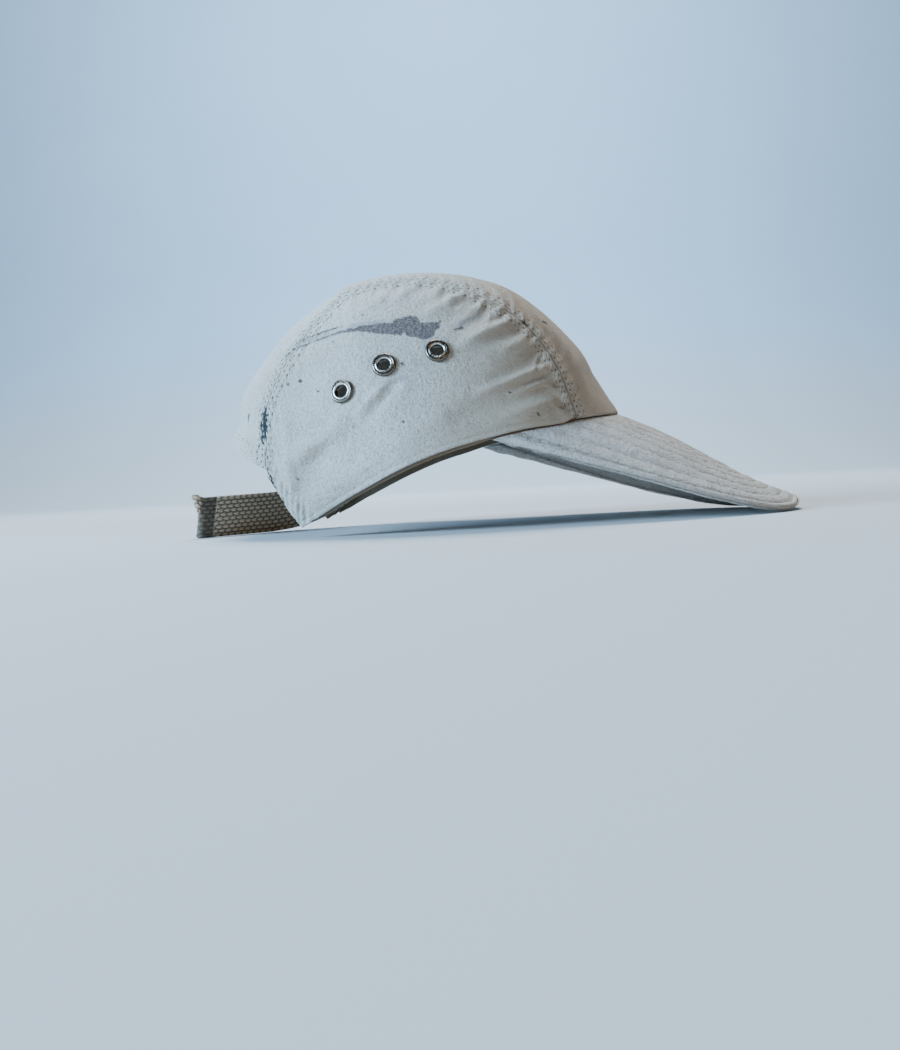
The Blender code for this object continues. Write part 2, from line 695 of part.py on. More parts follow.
def main():
    for old in list(bpy.data.objects):
        bpy.data.objects.remove(old, do_unlink=True)
    canvas = make_material("cotton_canvas", (0.72, 0.69, 0.62), 0.85, 0.0)
    twill = make_material("band_twill", (0.50, 0.43, 0.33), 0.85, 0.0)
    webbing = make_material("cotton_webbing", (0.62, 0.58, 0.48), 0.85, 0.0)
    nickel = make_material("aged_nickel", (0.55, 0.52, 0.46), 0.3, 1.0)
    cap = bpy.data.collections.new("long_bill_cap")
    helpers = bpy.data.collections.new("cutters")
    bpy.context.scene.collection.children.link(cap)
    bpy.context.scene.collection.children.link(helpers)
    cutters = []
    pieces = [
        centre_strip(canvas),
        side_panel("side_panel_right", -1.0, canvas, cutters),
        side_panel("side_panel_left", 1.0, canvas, cutters),
        bill(canvas),
        sweatband(twill),
        strap(webbing),
        slide_buckle(nickel, cutters),
        slide_tab(webbing),
    ]
    for side, word in ((-1.0, "right"), (1.0, "left")):
        for number, frame in enumerate(eyelet_frames(side), 1):
            pieces.append(eyelet(f"eyelet_{word}_{number}", frame, nickel))
    for piece in pieces:
        cap.objects.link(piece)
    for cutter in cutters:
        helpers.objects.link(cutter)
        cutter.hide_render = True
        cutter.display_type = "WIRE"
    shift = Matrix.Translation(rest_origin(pieces))
    for made in pieces + cutters:
        made.matrix_world = shift @ made.matrix_world


main()
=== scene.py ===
"""Looks of the long-bill cap: a canvas crown, a quilted bill, a sweatband, eyelets and a webbing strap.

Every piece is worked out in the crown's own axes, with the origin under the middle of the crown, and is
then moved forwards into the row frame. Lengths are in metres.
"""

import itertools
import logging
import math
from dataclasses import dataclass, field
from enum import Enum
from typing import Any

import bpy
import numpy as np
from mathutils import Matrix, Vector


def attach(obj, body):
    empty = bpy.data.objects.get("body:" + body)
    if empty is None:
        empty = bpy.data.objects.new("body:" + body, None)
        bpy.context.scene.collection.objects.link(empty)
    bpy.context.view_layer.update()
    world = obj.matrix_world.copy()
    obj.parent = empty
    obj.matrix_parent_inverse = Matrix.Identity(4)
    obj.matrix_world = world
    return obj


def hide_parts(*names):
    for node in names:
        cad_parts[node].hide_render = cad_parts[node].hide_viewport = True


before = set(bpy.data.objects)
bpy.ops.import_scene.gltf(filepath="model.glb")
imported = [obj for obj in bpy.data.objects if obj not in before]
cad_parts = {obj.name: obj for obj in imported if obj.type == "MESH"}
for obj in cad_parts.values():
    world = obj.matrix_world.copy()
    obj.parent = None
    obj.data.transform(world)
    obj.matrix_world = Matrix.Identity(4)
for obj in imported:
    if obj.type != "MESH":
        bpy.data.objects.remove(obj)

FORWARD_SHIFT = -0.038288
LOG = logging.getLogger("long_bill_cap")

Socket = bpy.types.NodeSocket
Tint = tuple[float, float, float, float]
StitchSize = tuple[float, float, float]


class Side(Enum):
    """Side of the wearer, as the sign of Y."""

    RIGHT = -1.0
    LEFT = 1.0


def smooth_curve(table: np.ndarray, column: int, at: Any) -> np.ndarray:
    """Cubic through a table's rows, with harmonic means of the slopes as tangents, so it never overshoots.

    Args:
        table: rows whose first column rises or falls steadily.
        column: the column to read.
        at: places on the first column.

    Returns:
        The column's values at those places.
    """
    x, y = table[:, 0], table[:, column]
    if x[0] > x[-1]:
        x, y = x[::-1], y[::-1]
    step = np.diff(x)
    slope = np.diff(y) / step
    before, after = slope[:-1], slope[1:]
    same_way = before * after > 0.0
    safe = np.where(same_way, before + after, 1.0)
    inner = np.where(same_way, 2.0 * before * after / safe, 0.0)
    tangent = np.concatenate([slope[:1], inner, slope[-1:]])
    at = np.clip(np.asarray(at, float), x[0], x[-1])
    cell = np.clip(np.searchsorted(x, at, side="right") - 1, 0, len(x) - 2)
    t = (at - x[cell]) / step[cell]
    return (
        y[cell] * (1.0 + 2.0 * t) * (1.0 - t) ** 2
        + step[cell] * tangent[cell] * t * (1.0 - t) ** 2
        + y[cell + 1] * t**2 * (3.0 - 2.0 * t)
        + step[cell] * tangent[cell + 1] * t**2 * (t - 1.0)
    )


def cloth_noise(points: np.ndarray, scale: float, seed: float) -> np.ndarray:
    """Soft noise from -1 to 1: hashed values on a cubic lattice, blended with smoothstep weights.

    Args:
        points: places, with the three coordinates last.
        scale: size of a lattice cell.
        seed: moves the pattern.

    Returns:
        One value for each place.
    """
    place = points / scale + seed * 7.31
    base = np.floor(place)
    part = place - base
    part = part * part * (3.0 - 2.0 * part)
    total = np.zeros(points.shape[:-1])
    for corner in itertools.product((0.0, 1.0), repeat=3):
        offset = np.array(corner)
        hashed = np.sin((base + offset) @ np.array([127.1, 311.7, 74.7]) + seed) * 43758.5453
        weight = np.prod(np.where(offset > 0.5, part, 1.0 - part), axis=-1)
        total += (hashed - np.floor(hashed)) * weight
    return total * 2.0 - 1.0


def gather_ends(count: int, pull: float = 0.85) -> np.ndarray:
    """Shares from 0 to 1 that crowd at both ends: s minus pull times sin(2 pi s) over 2 pi."""
    s = np.linspace(0.0, 1.0, count)
    return s - pull * np.sin(math.tau * s) / math.tau


def bump_at(distance: np.ndarray, width: float) -> np.ndarray:
    """A bell of height 1: exp of minus the square of distance over width."""
    return np.exp(-((distance / width) ** 2))


def step_down(distance: np.ndarray, place: float, softness: float) -> np.ndarray:
    """Falls softly from 1 to 0 at a place, as a logistic step."""
    return 1.0 / (1.0 + np.exp(np.clip((distance - place) / softness, -40.0, 40.0)))


def rim_drop(distance: np.ndarray, radius: float) -> np.ndarray:
    """How far a rounded edge has fallen this near to it: a quarter circle of that radius."""
    inside = np.clip(radius - distance, 0.0, radius)
    return radius - np.sqrt(radius**2 - inside**2)


def run_along(grid: np.ndarray, axis: int) -> np.ndarray:
    """Length run along one axis of a grid of points, counted from its start."""
    step = np.linalg.norm(np.diff(grid, axis=axis), axis=-1)
    start = np.zeros_like(np.take(step, [0], axis=axis))
    return np.concatenate([start, np.cumsum(step, axis=axis)], axis=axis)


def cells_of(index: np.ndarray) -> np.ndarray:
    """Four vertex numbers of each cell of a grid, with the grid's rows and columns first."""
    return np.stack([index[:-1, :-1], index[1:, :-1], index[1:, 1:], index[:-1, 1:]], -1)


def surface_normals(grid: np.ndarray, outward: np.ndarray) -> np.ndarray:
    """Unit normals of a grid of points, turned to the side that the outward directions point to."""
    normal = np.cross(np.gradient(grid, axis=0), np.gradient(grid, axis=1))
    normal /= np.maximum(np.linalg.norm(normal, axis=-1, keepdims=True), 1e-12)
    return normal * (1.0 if np.sum(normal * outward) > 0.0 else -1.0)


def lift_by_folds(points: np.ndarray, folds: np.ndarray) -> np.ndarray:
    """Lift of straight folds seen from the side.

    Each row is x and z of its two ends, its width and its rise: the rise falls off as a bell across the
    fold, and as a half sine that ends a quarter of its length past each end.

    Args:
        points: places in the crown's axes.
        folds: rows of x, z, x, z, width and rise.

    Returns:
        The lift at each place.
    """
    past = 0.25
    lift = np.zeros(points.shape[:-1])
    for x0, z0, x1, z1, width, rise in folds:
        run = np.array([x1 - x0, z1 - z0])
        dx, dz = points[..., 0] - x0, points[..., 2] - z0
        along = np.clip((dx * run[0] + dz * run[1]) / (run @ run), -past, 1.0 + past)
        off = np.hypot(dx - along * run[0], dz - along * run[1])
        fade = np.clip(np.sin(math.pi * (along + past) / (1.0 + 2.0 * past)), 0.0, 1.0) ** 0.8
        lift += rise * bump_at(off, width) * fade
    return lift


@dataclass
class Finisher:
    """A sheet's inner face has one metre added to its distance, by which the finishes know it.
    """

    body: str = "root"
    inner_mark: float = 1.0
    stitch_steps: int = 6

    def mesh(
        self, name: str, points: np.ndarray, faces: np.ndarray, uv: np.ndarray | None = None
    ) -> bpy.types.Object:
        """Makes one smooth mesh object at the origin.

        Args:
            name: the piece's name.
            points: vertices in the crown's axes, one row each.
            faces: four vertex numbers in each row.
            uv: a length run and a distance for each vertex, or none.

        Returns:
            The linked object.
        """
        made = bpy.data.meshes.new(name)
        moved = points.reshape(-1, 3) + np.array([FORWARD_SHIFT, 0.0, 0.0])
        made.from_pydata(moved.tolist(), [], faces.tolist())
        made.polygons.foreach_set("use_smooth", np.ones(len(made.polygons), bool))
        if uv is not None:
            corner = np.empty(len(made.loops), np.int32)
            made.loops.foreach_get("vertex_index", corner)
            layer = made.uv_layers.new(name="cloth")
            layer.data.foreach_set("uv", uv.reshape(-1, 2)[corner].astype(np.float32).ravel())
        made.update()
        piece = bpy.data.objects.new(name, made)
        bpy.context.scene.collection.objects.link(piece)
        return piece

    def hand_over(
        self, piece: bpy.types.Object, material: bpy.types.Material, slot: str, *nodes: str
    ) -> None:
        """Dresses a piece, ties it to the body and hides the CAD nodes that it stands for.

        Args:
            piece: the finished object.
            material: its material.
            slot: the record's material slot; not used.
            nodes: the CAD nodes that it replaces.
        """
        piece.data.materials.append(material)
        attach(piece, self.body)
        if nodes:
            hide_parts(*nodes)
        LOG.info("%s: %d faces", piece.name, len(piece.data.polygons))

    def slab(
        self, name: str, top: np.ndarray, under: np.ndarray, uv: np.ndarray, keep: np.ndarray | None = None
    ) -> bpy.types.Object:
        """A sheet with thickness: two grids, with a wall round every free edge of the kept cells.

        Args:
            name: the piece's name.
            top: grid of the outer face.
            under: grid of the inner face, of the same shape.
            uv: length run and distance at each grid point.
            keep: which cells stay, or none for all of them.

        Returns:
            The linked object.
        """
        rows, columns = top.shape[:2]
        count = rows * columns
        index = np.arange(count).reshape(rows, columns)
        cells = cells_of(index)
        cells = cells.reshape(-1, 4) if keep is None else cells[keep]
        starts, ends = cells.ravel(), np.roll(cells, -1, axis=1).ravel()
        free = ~np.isin(starts * count + ends, ends * count + starts)
        wall = np.stack([ends[free], starts[free], starts[free] + count, ends[free] + count], -1)
        faces = np.concatenate([cells, cells[:, ::-1] + count, wall])
        normal = np.cross(np.gradient(top, axis=0), np.gradient(top, axis=1))
        if np.sum(normal * (top - under)) < 0.0:
            faces = faces[:, ::-1]
        points = np.concatenate([top.reshape(-1, 3), under.reshape(-1, 3)])
        flat = uv.reshape(-1, 2)
        return self.mesh(name, points, faces, np.concatenate([flat, flat + np.array([0.0, self.inner_mark])]))

    def stitches(
        self, name: str, centre: np.ndarray, along: np.ndarray, up: np.ndarray, size: StitchSize
    ) -> bpy.types.Object:
        """Many stitches as one mesh: each is a half round bar whose ends dive into the cloth as a parabola.

        Args:
            name: the piece's name.
            centre: middle of each stitch, on the cloth.
            along: its direction.
            up: the cloth's normal there.
            size: length, half width and height.

        Returns:
            The linked object.
        """
        length, half, height = size
        steps, below = self.stitch_steps, 0.15
        t = np.linspace(-0.5, 0.5, steps)[:, None]
        turn = np.linspace(-below, math.pi + below, steps)[None, :]
        rise = 1.0 - (2.0 * t) ** 2
        local = np.stack(
            [
                np.broadcast_to(t * length, (steps, steps)),
                np.cos(turn) * half * (0.6 + 0.4 * rise),
                height * (np.sin(turn) * (0.45 + 0.55 * rise) - 0.55 * (1.0 - rise)),
            ],
            -1,
        ).reshape(-1, 3)
        along = along / np.linalg.norm(along, axis=-1, keepdims=True)
        across = np.cross(up, along)
        across /= np.linalg.norm(across, axis=-1, keepdims=True)
        axes = np.stack([along, across, up], 1)
        points = centre[:, None, :] + np.einsum("pk,nkc->npc", local, axes)
        count = steps * steps
        cell = cells_of(np.arange(count).reshape(steps, steps).T).reshape(-1, 4)
        faces = (cell[None] + (np.arange(len(centre)) * count)[:, None, None]).reshape(-1, 4)
        return self.mesh(name, points, faces, np.tile(local[:, :2], (len(centre), 1)))


@dataclass(frozen=True)
class CrownForm:
    """The crown's ideal surface: cross sections round the side-to-side axis, each a superellipse."""

    rise: float = 0.1379
    half_width: float = 0.0838
    power: float = 2.5
    strip_half_width: float = 0.040
    strip_front: float = 28.0
    strip_back: float = 153.4
    front_sweep: float = 3.5
    seam_pace: float = 0.94
    cloth: float = 0.0014
    arch_drop: float = 2.5
    arch_bulge: float = 3.0
    middle: float = 0.3
    sections: np.ndarray = field(
        default_factory=lambda: np.array(
            [
                # angle, reach, breadth, strip
                (26.0, 0.888, 0.950, 1.455),
                (33.0, 0.881, 0.957, 1.452),
                (39.0, 0.890, 0.962, 1.430),
                (45.0, 0.919, 0.968, 1.400),
                (52.0, 0.940, 0.975, 1.340),
                (60.0, 0.967, 0.983, 1.285),
                (70.0, 0.993, 0.992, 1.240),
                (80.0, 0.999, 0.999, 1.130),
                (92.0, 1.000, 1.000, 1.010),
                (104.0, 0.997, 0.993, 0.985),
                (111.0, 0.967, 0.980, 1.075),
                (120.0, 0.939, 0.962, 1.185),
                (132.0, 0.903, 0.935, 1.260),
                (141.0, 0.879, 0.912, 1.330),
                (148.0, 0.838, 0.892, 1.375),
                (154.0, 0.822, 0.874, 1.385),
                (164.0, 0.750, 0.832, 1.390),
                (176.0, 0.680, 0.785, 1.390),
            ]
        )
    )
    hem: np.ndarray = field(
        default_factory=lambda: np.array(
            [
                # forward, height
                (0.580, 0.384),
                (0.509, 0.369),
                (0.434, 0.359),
                (0.361, 0.348),
                (0.270, 0.329),
                (0.182, 0.309),
                (0.076, 0.281),
                (-0.065, 0.230),
                (-0.137, 0.197),
                (-0.210, 0.161),
                (-0.267, 0.132),
                (-0.327, 0.100),
                (-0.389, 0.066),
                (-0.442, 0.037),
            ]
        )
    )

    def reach(self, angle: np.ndarray) -> np.ndarray:
        """Distance of the outline from the axis at these angles."""
        return self.rise * smooth_curve(self.sections, 1, angle)

    def breadth(self, angle: np.ndarray) -> np.ndarray:
        """Half breadth of the section at these angles."""
        return self.half_width * smooth_curve(self.sections, 2, angle)

    def strip(self, angle: np.ndarray) -> np.ndarray:
        """Half breadth of the centre strip at these angles."""
        return self.strip_half_width * smooth_curve(self.sections, 3, angle)

    def turn_for_side(self, angle: np.ndarray, side: np.ndarray) -> np.ndarray:
        """Turn round the section where the crown stands this far to the side."""
        share = np.clip(np.abs(side) / self.breadth(angle), 0.0, 1.0)
        return np.arcsin(share ** (self.power / 2.0))

    def points(self, angle: np.ndarray, turn: np.ndarray, side: Any) -> np.ndarray:
        """Points of the crown: reach by cos(turn) and breadth by sin(turn), both to 2 over the power."""
        radius = self.reach(angle) * np.cos(turn) ** (2.0 / self.power)
        lateral = side * self.breadth(angle) * np.sin(turn) ** (2.0 / self.power)
        heading = np.radians(angle)
        return np.stack([radius * np.cos(heading), lateral, radius * np.sin(heading)], -1)

    def hem_places(self, share: np.ndarray) -> tuple[np.ndarray, np.ndarray]:
        """Angle and turn of the hem at these shares of its way back from the strip's front corner."""
        forward = self.rise * (self.hem[0, 0] + (self.hem[-1, 0] - self.hem[0, 0]) * share)
        height = self.rise * smooth_curve(self.hem, 1, forward / self.rise)
        angle = np.degrees(np.arctan2(height, forward))
        part = np.clip(np.hypot(forward, height) / self.reach(angle), 0.0, 1.0)
        return angle, np.arccos(part ** (self.power / 2.0))

    def inside_at(self, forward: np.ndarray, height: np.ndarray) -> np.ndarray:
        """How far to the side the crown stands at this place seen from the side."""
        angle = np.degrees(np.arctan2(height, forward))
        share = np.clip(np.hypot(forward, height) / self.reach(angle), 0.0, 1.0)
        return self.breadth(angle) * (1.0 - share**self.power) ** (1.0 / self.power)

    def onto(self, points: np.ndarray) -> np.ndarray:
        """Points scaled about the origin until they lie on the crown."""
        radius = np.hypot(points[..., 0], points[..., 2])
        angle = np.degrees(np.arctan2(points[..., 2], points[..., 0]))
        out = (radius / self.reach(angle)) ** self.power
        aside = (np.abs(points[..., 1]) / self.breadth(angle)) ** self.power
        return points * ((out + aside) ** (-1.0 / self.power))[..., None]

    def normals(self, grid: np.ndarray) -> np.ndarray:
        """Unit normals of a grid on the crown, turned away from a point low in its middle."""
        return surface_normals(grid, grid - np.array([0.0, 0.0, self.rise * self.middle]))

    def strip_edge(self, across: np.ndarray) -> np.ndarray:
        """Angle of the strip's front edge at these shares of its half breadth."""
        corner = self.hem_places(np.zeros(1))[0]
        return self.strip_front + (corner - self.strip_front) * np.abs(across) ** self.front_sweep

    def panel_grid(self, side: float, along: np.ndarray, down: np.ndarray) -> np.ndarray:
        """A side panel without folds, from the seam down to the hem, row by row from front to back."""
        share, down = along[:, None], down[None, :]
        corner = self.hem_places(np.zeros(1))[0]
        seam_angle = corner + (self.strip_back + self.arch_drop - corner) * share**self.seam_pace
        seam_turn = self.turn_for_side(seam_angle, self.strip(seam_angle))
        hem_angle, hem_turn = self.hem_places(share)
        hem_turn = seam_turn + np.maximum(hem_turn - seam_turn, 0.0) * np.clip(share * 20.0, 0.0, 1.0)
        angle = seam_angle + (hem_angle - seam_angle) * down**1.6
        angle = angle + self.arch_bulge * np.sin(math.pi * down) * share**12
        return self.points(angle, seam_turn + (hem_turn - seam_turn) * down, side)

    def strip_grid(self, along: np.ndarray, across: np.ndarray) -> np.ndarray:
        """The centre strip without folds, from the bill over the top to the back arch."""
        along, across = along[:, None], across[None, :]
        start = self.strip_edge(across)
        end = self.strip_back + self.arch_drop * across**2
        angle = start + (end - start) * along**self.seam_pace
        side = across * self.strip(angle)
        return self.points(angle, self.turn_for_side(angle, side), np.sign(side))


class Bench:
    """Adds and links the nodes of one shader tree."""

    def __init__(self, tree: bpy.types.NodeTree) -> None:
        """Keeps the tree."""
        self.tree = tree

    def feed(self, socket: Socket, value: Any) -> None:
        """Links an output to a socket, or sets the socket's own value."""
        if isinstance(value, Socket):
            self.tree.links.new(value, socket)
        else:
            socket.default_value = value

    def add(self, kind: str, inputs: dict[Any, Any] | None = None, **settings: Any) -> bpy.types.Node:
        """Adds a node, sets its options and feeds its inputs."""
        node = self.tree.nodes.new(kind)
        for name, value in settings.items():
            setattr(node, name, value)
        for key, value in (inputs or {}).items():
            self.feed(node.inputs[key], value)
        return node

    def math(self, operation: str, *values: Any, clamp: bool = False) -> Socket:
        """One Math node."""
        node = self.add("ShaderNodeMath", dict(enumerate(values)), operation=operation, use_clamp=clamp)
        return node.outputs[0]

    def times(self, first: Any, second: Any) -> Socket:
        """Multiplies two values."""
        return self.math("MULTIPLY", first, second)

    def parts(self, vector: Any) -> Any:
        """The three parts of a vector."""
        return self.add("ShaderNodeSeparateXYZ", {0: vector}).outputs

    def cloth(self) -> Socket:
        """The piece's own UV map: the run along it and the distance from its seam or edge."""
        return self.add("ShaderNodeUVMap", uv_map="cloth").outputs[0]

    def bump(self, shader: bpy.types.Node, height: Any, strength: float, distance: float) -> None:
        """Feeds a height to the shader's normal."""
        node = self.add("ShaderNodeBump", {"Height": height, "Strength": strength, "Distance": distance})
        self.feed(shader.inputs["Normal"], node.outputs[0])

    def vector(self, operation: str, *values: Any) -> Socket:
        """One Vector Math node."""
        node = self.add("ShaderNodeVectorMath", dict(enumerate(values)), operation=operation)
        return node.outputs["Value" if operation in ("DISTANCE", "LENGTH", "DOT_PRODUCT") else "Vector"]

    def ramp(self, value: Any, low: float, high: float, start: float = 0.0, end: float = 1.0) -> Socket:
        """A smooth step of a value between two limits."""
        node = self.add(
            "ShaderNodeMapRange",
            {"Value": value, "From Min": low, "From Max": high, "To Min": start, "To Max": end},
            interpolation_type="SMOOTHSTEP",
        )
        return node.outputs["Result"]

    def mix(self, factor: Any, first: Any, second: Any) -> Socket:
        """Blends two colours."""
        node = self.add("ShaderNodeMix", {0: factor, 6: first, 7: second}, data_type="RGBA")
        return node.outputs[2]

    def noise(self, vector: Any, scale: float, detail: float = 3.0, rough: float = 0.55) -> Socket:
        """Noise at a vector, from 0 to 1."""
        inputs = {"Vector": vector, "Scale": scale, "Detail": detail, "Roughness": rough}
        return self.add("ShaderNodeTexNoise", inputs).outputs[0]

    def group(self, tree: bpy.types.NodeTree, inputs: dict[Any, Any]) -> bpy.types.Node:
        """Places a node group."""
        node = self.add("ShaderNodeGroup", node_tree=tree)
        for key, value in inputs.items():
            self.feed(node.inputs[key], value)
        return node

    def total(self, *values: Any) -> Socket:
        """Adds several values."""
        result = values[0]
        for value in values[1:]:
            result = self.math("ADD", result, value)
        return result


def new_group(
    name: str, inputs: dict[str, str], outputs: dict[str, str]
) -> tuple[bpy.types.NodeTree, Bench, Any, Any]:
    """Starts a shader node group.

    Args:
        name: the group's name.
        inputs: socket names and kinds.
        outputs: socket names and kinds.

    Returns:
        The tree, its bench, the sockets that come in and the sockets that go out.
    """
    tree = bpy.data.node_groups.new(name, "ShaderNodeTree")
    for label, kind in inputs.items():
        tree.interface.new_socket(label, in_out="INPUT", socket_type=kind)
    for label, kind in outputs.items():
        tree.interface.new_socket(label, in_out="OUTPUT", socket_type=kind)
    bench = Bench(tree)
    return tree, bench, bench.add("NodeGroupInput").outputs, bench.add("NodeGroupOutput").inputs


def new_material(name: str) -> tuple[bpy.types.Material, Bench, bpy.types.Node, Socket]:
    """Starts a material.

    Args:
        name: the material's name.

    Returns:
        The material, its bench, its shader and the object coordinates.
    """
    material = bpy.data.materials.new(name)
    material.use_nodes = True
    bench = Bench(material.node_tree)
    shader = material.node_tree.nodes["Principled BSDF"]
    return material, bench, shader, bench.add("ShaderNodeTexCoord").outputs["Object"]


FLOAT, VECTOR = "NodeSocketFloat", "NodeSocketVector"


@dataclass
class Effects:
    """The node groups that several finishes share."""

    weave: bpy.types.NodeTree = field(init=False)
    needles: bpy.types.NodeTree = field(init=False)
    stroke: bpy.types.NodeTree = field(init=False)
    age: bpy.types.NodeTree = field(init=False)
    chevrons: bpy.types.NodeTree = field(init=False)

    def __post_init__(self) -> None:
        """Builds the groups."""
        self.weave = self.build_weave()
        self.needles = self.build_needles()
        self.stroke = self.build_stroke()
        self.age = self.build_age()
        self.chevrons = self.build_chevrons()

    def build_weave(self) -> bpy.types.NodeTree:
        """Plain weave: warp and weft ribs, each a rectified sine, which take turns on top in a chequer.

        Returns:
            A group from a length vector and a thread pitch to a height from 0 to 1.
        """
        inputs = {"Cloth": VECTOR, "Pitch": FLOAT}
        tree, bench, given, out = new_group("plain_weave", inputs, {"Height": FLOAT})
        split = bench.parts(given["Cloth"])
        across = bench.math("DIVIDE", split[0], given["Pitch"])
        along = bench.math("DIVIDE", split[1], given["Pitch"])
        weft = bench.math("ABSOLUTE", bench.math("SINE", bench.times(across, math.pi)))
        warp = bench.math("ABSOLUTE", bench.math("SINE", bench.times(along, math.pi)))
        cells = bench.total(bench.math("FLOOR", across), bench.math("FLOOR", along))
        turn = bench.math("FLOORED_MODULO", cells, 2.0)
        over = bench.times(weft, turn)
        under = bench.times(warp, bench.math("SUBTRACT", 1.0, turn))
        both = bench.times(bench.times(weft, warp), 0.6)
        bench.feed(out["Height"], bench.total(bench.times(bench.total(over, under), 0.4), both))
        return tree

    def build_needles(self) -> bpy.types.NodeTree:
        """Needle holes: spots where the run is near a whole pitch and the distance is near the row.

        Returns:
            A group from run, distance, row and pitch to a mask.
        """
        tree, bench, given, out = new_group(
            "needle_holes", {"Run": FLOAT, "Distance": FLOAT, "Row": FLOAT, "Pitch": FLOAT}, {"Hole": FLOAT}
        )
        turns = bench.math("DIVIDE", given["Run"], given["Pitch"])
        apart = bench.math("SUBTRACT", turns, bench.math("ROUND", turns))
        apart = bench.times(apart, given["Pitch"])
        off = bench.math("SUBTRACT", given["Distance"], given["Row"])
        square = bench.total(bench.times(apart, apart), bench.times(off, off))
        bench.feed(out["Hole"], bench.ramp(bench.math("SQRT", square), 0.00062, 0.00022))
        return tree

    def build_stroke(self) -> bpy.types.NodeTree:
        """Distance to a stroke: from a point to a segment, less a radius that changes along it.

        Returns:
            A group from a point and a stroke to a signed distance.
        """
        tree, bench, given, out = new_group(
            "paint_stroke",
            dict.fromkeys(("Point", "Start", "End", "Flatten"), VECTOR) | {"First": FLOAT, "Last": FLOAT},
            {"Distance": FLOAT},
        )
        from_start = bench.vector("SUBTRACT", given["Point"], given["Start"])
        from_start = bench.vector("MULTIPLY", from_start, given["Flatten"])
        run = bench.vector("SUBTRACT", given["End"], given["Start"])
        run = bench.vector("MULTIPLY", run, given["Flatten"])
        square = bench.total(bench.vector("DOT_PRODUCT", run, run), 1e-12)
        share = bench.math("DIVIDE", bench.vector("DOT_PRODUCT", from_start, run), square, clamp=True)
        scaled = bench.add("ShaderNodeVectorMath", {0: run, "Scale": share}, operation="SCALE").outputs[0]
        distance = bench.vector("DISTANCE", from_start, scaled)
        radii = {0: share, 2: given["First"], 3: given["Last"]}
        radius = bench.add("ShaderNodeMix", radii, data_type="FLOAT")
        bench.feed(out["Distance"], bench.math("SUBTRACT", distance, radius.outputs[0]))
        return tree

    def build_chevrons(self) -> bpy.types.NodeTree:
        """Chevron ribs: a rectified sine of the run, bent to a V in each bundle, half a rib on in the next.

        Returns:
            A group from a length vector, a rib length and a bundle width to a height from 0 to 1.
        """
        tree, bench, given, out = new_group(
            "chevron_ribs", {"Cloth": VECTOR, "Rib": FLOAT, "Bundle": FLOAT}, {"Height": FLOAT}
        )
        split = bench.parts(given["Cloth"])
        rows = bench.math("DIVIDE", split[1], given["Bundle"])
        turn = bench.math("FLOORED_MODULO", bench.math("FLOOR", rows), 2.0)
        slope = bench.math("ABSOLUTE", bench.math("SUBTRACT", bench.math("FRACT", rows), 0.5))
        phase = bench.math("DIVIDE", split[0], given["Rib"])
        phase = bench.total(phase, bench.times(turn, 0.5), bench.times(slope, 0.6))
        ribs = bench.math("ABSOLUTE", bench.math("SINE", bench.times(phase, math.pi)))
        columns = bench.math("ABSOLUTE", bench.math("SINE", bench.times(rows, math.pi)))
        bench.feed(out["Height"], bench.math("POWER", bench.times(ribs, columns), 0.6))
        return tree

    def build_age(self) -> bpy.types.NodeTree:
        """Age of cloth: broad fading, small lint and fine dust, from three sizes of noise.

        Returns:
            A group from a point to a tone, lint and dust.
        """
        outputs = {"Tone": FLOAT, "Lint": FLOAT, "Dust": FLOAT}
        tree, bench, given, out = new_group("cloth_age", {"Point": VECTOR}, outputs)
        bench.feed(out["Tone"], bench.ramp(bench.noise(given["Point"], 22.0, 4.0), 0.30, 0.72))
        bench.feed(out["Lint"], bench.noise(given["Point"], 900.0, 3.0, 0.7))
        bench.feed(out["Dust"], bench.ramp(bench.noise(given["Point"], 330.0, 4.0, 0.75), 0.60, 0.76))
        return tree


class Paint(Enum):
    """Kinds of paint mark on the crown."""

    VIOLET = "violet"
    PALE = "pale"
    TEAL = "teal"
    DARK = "dark"


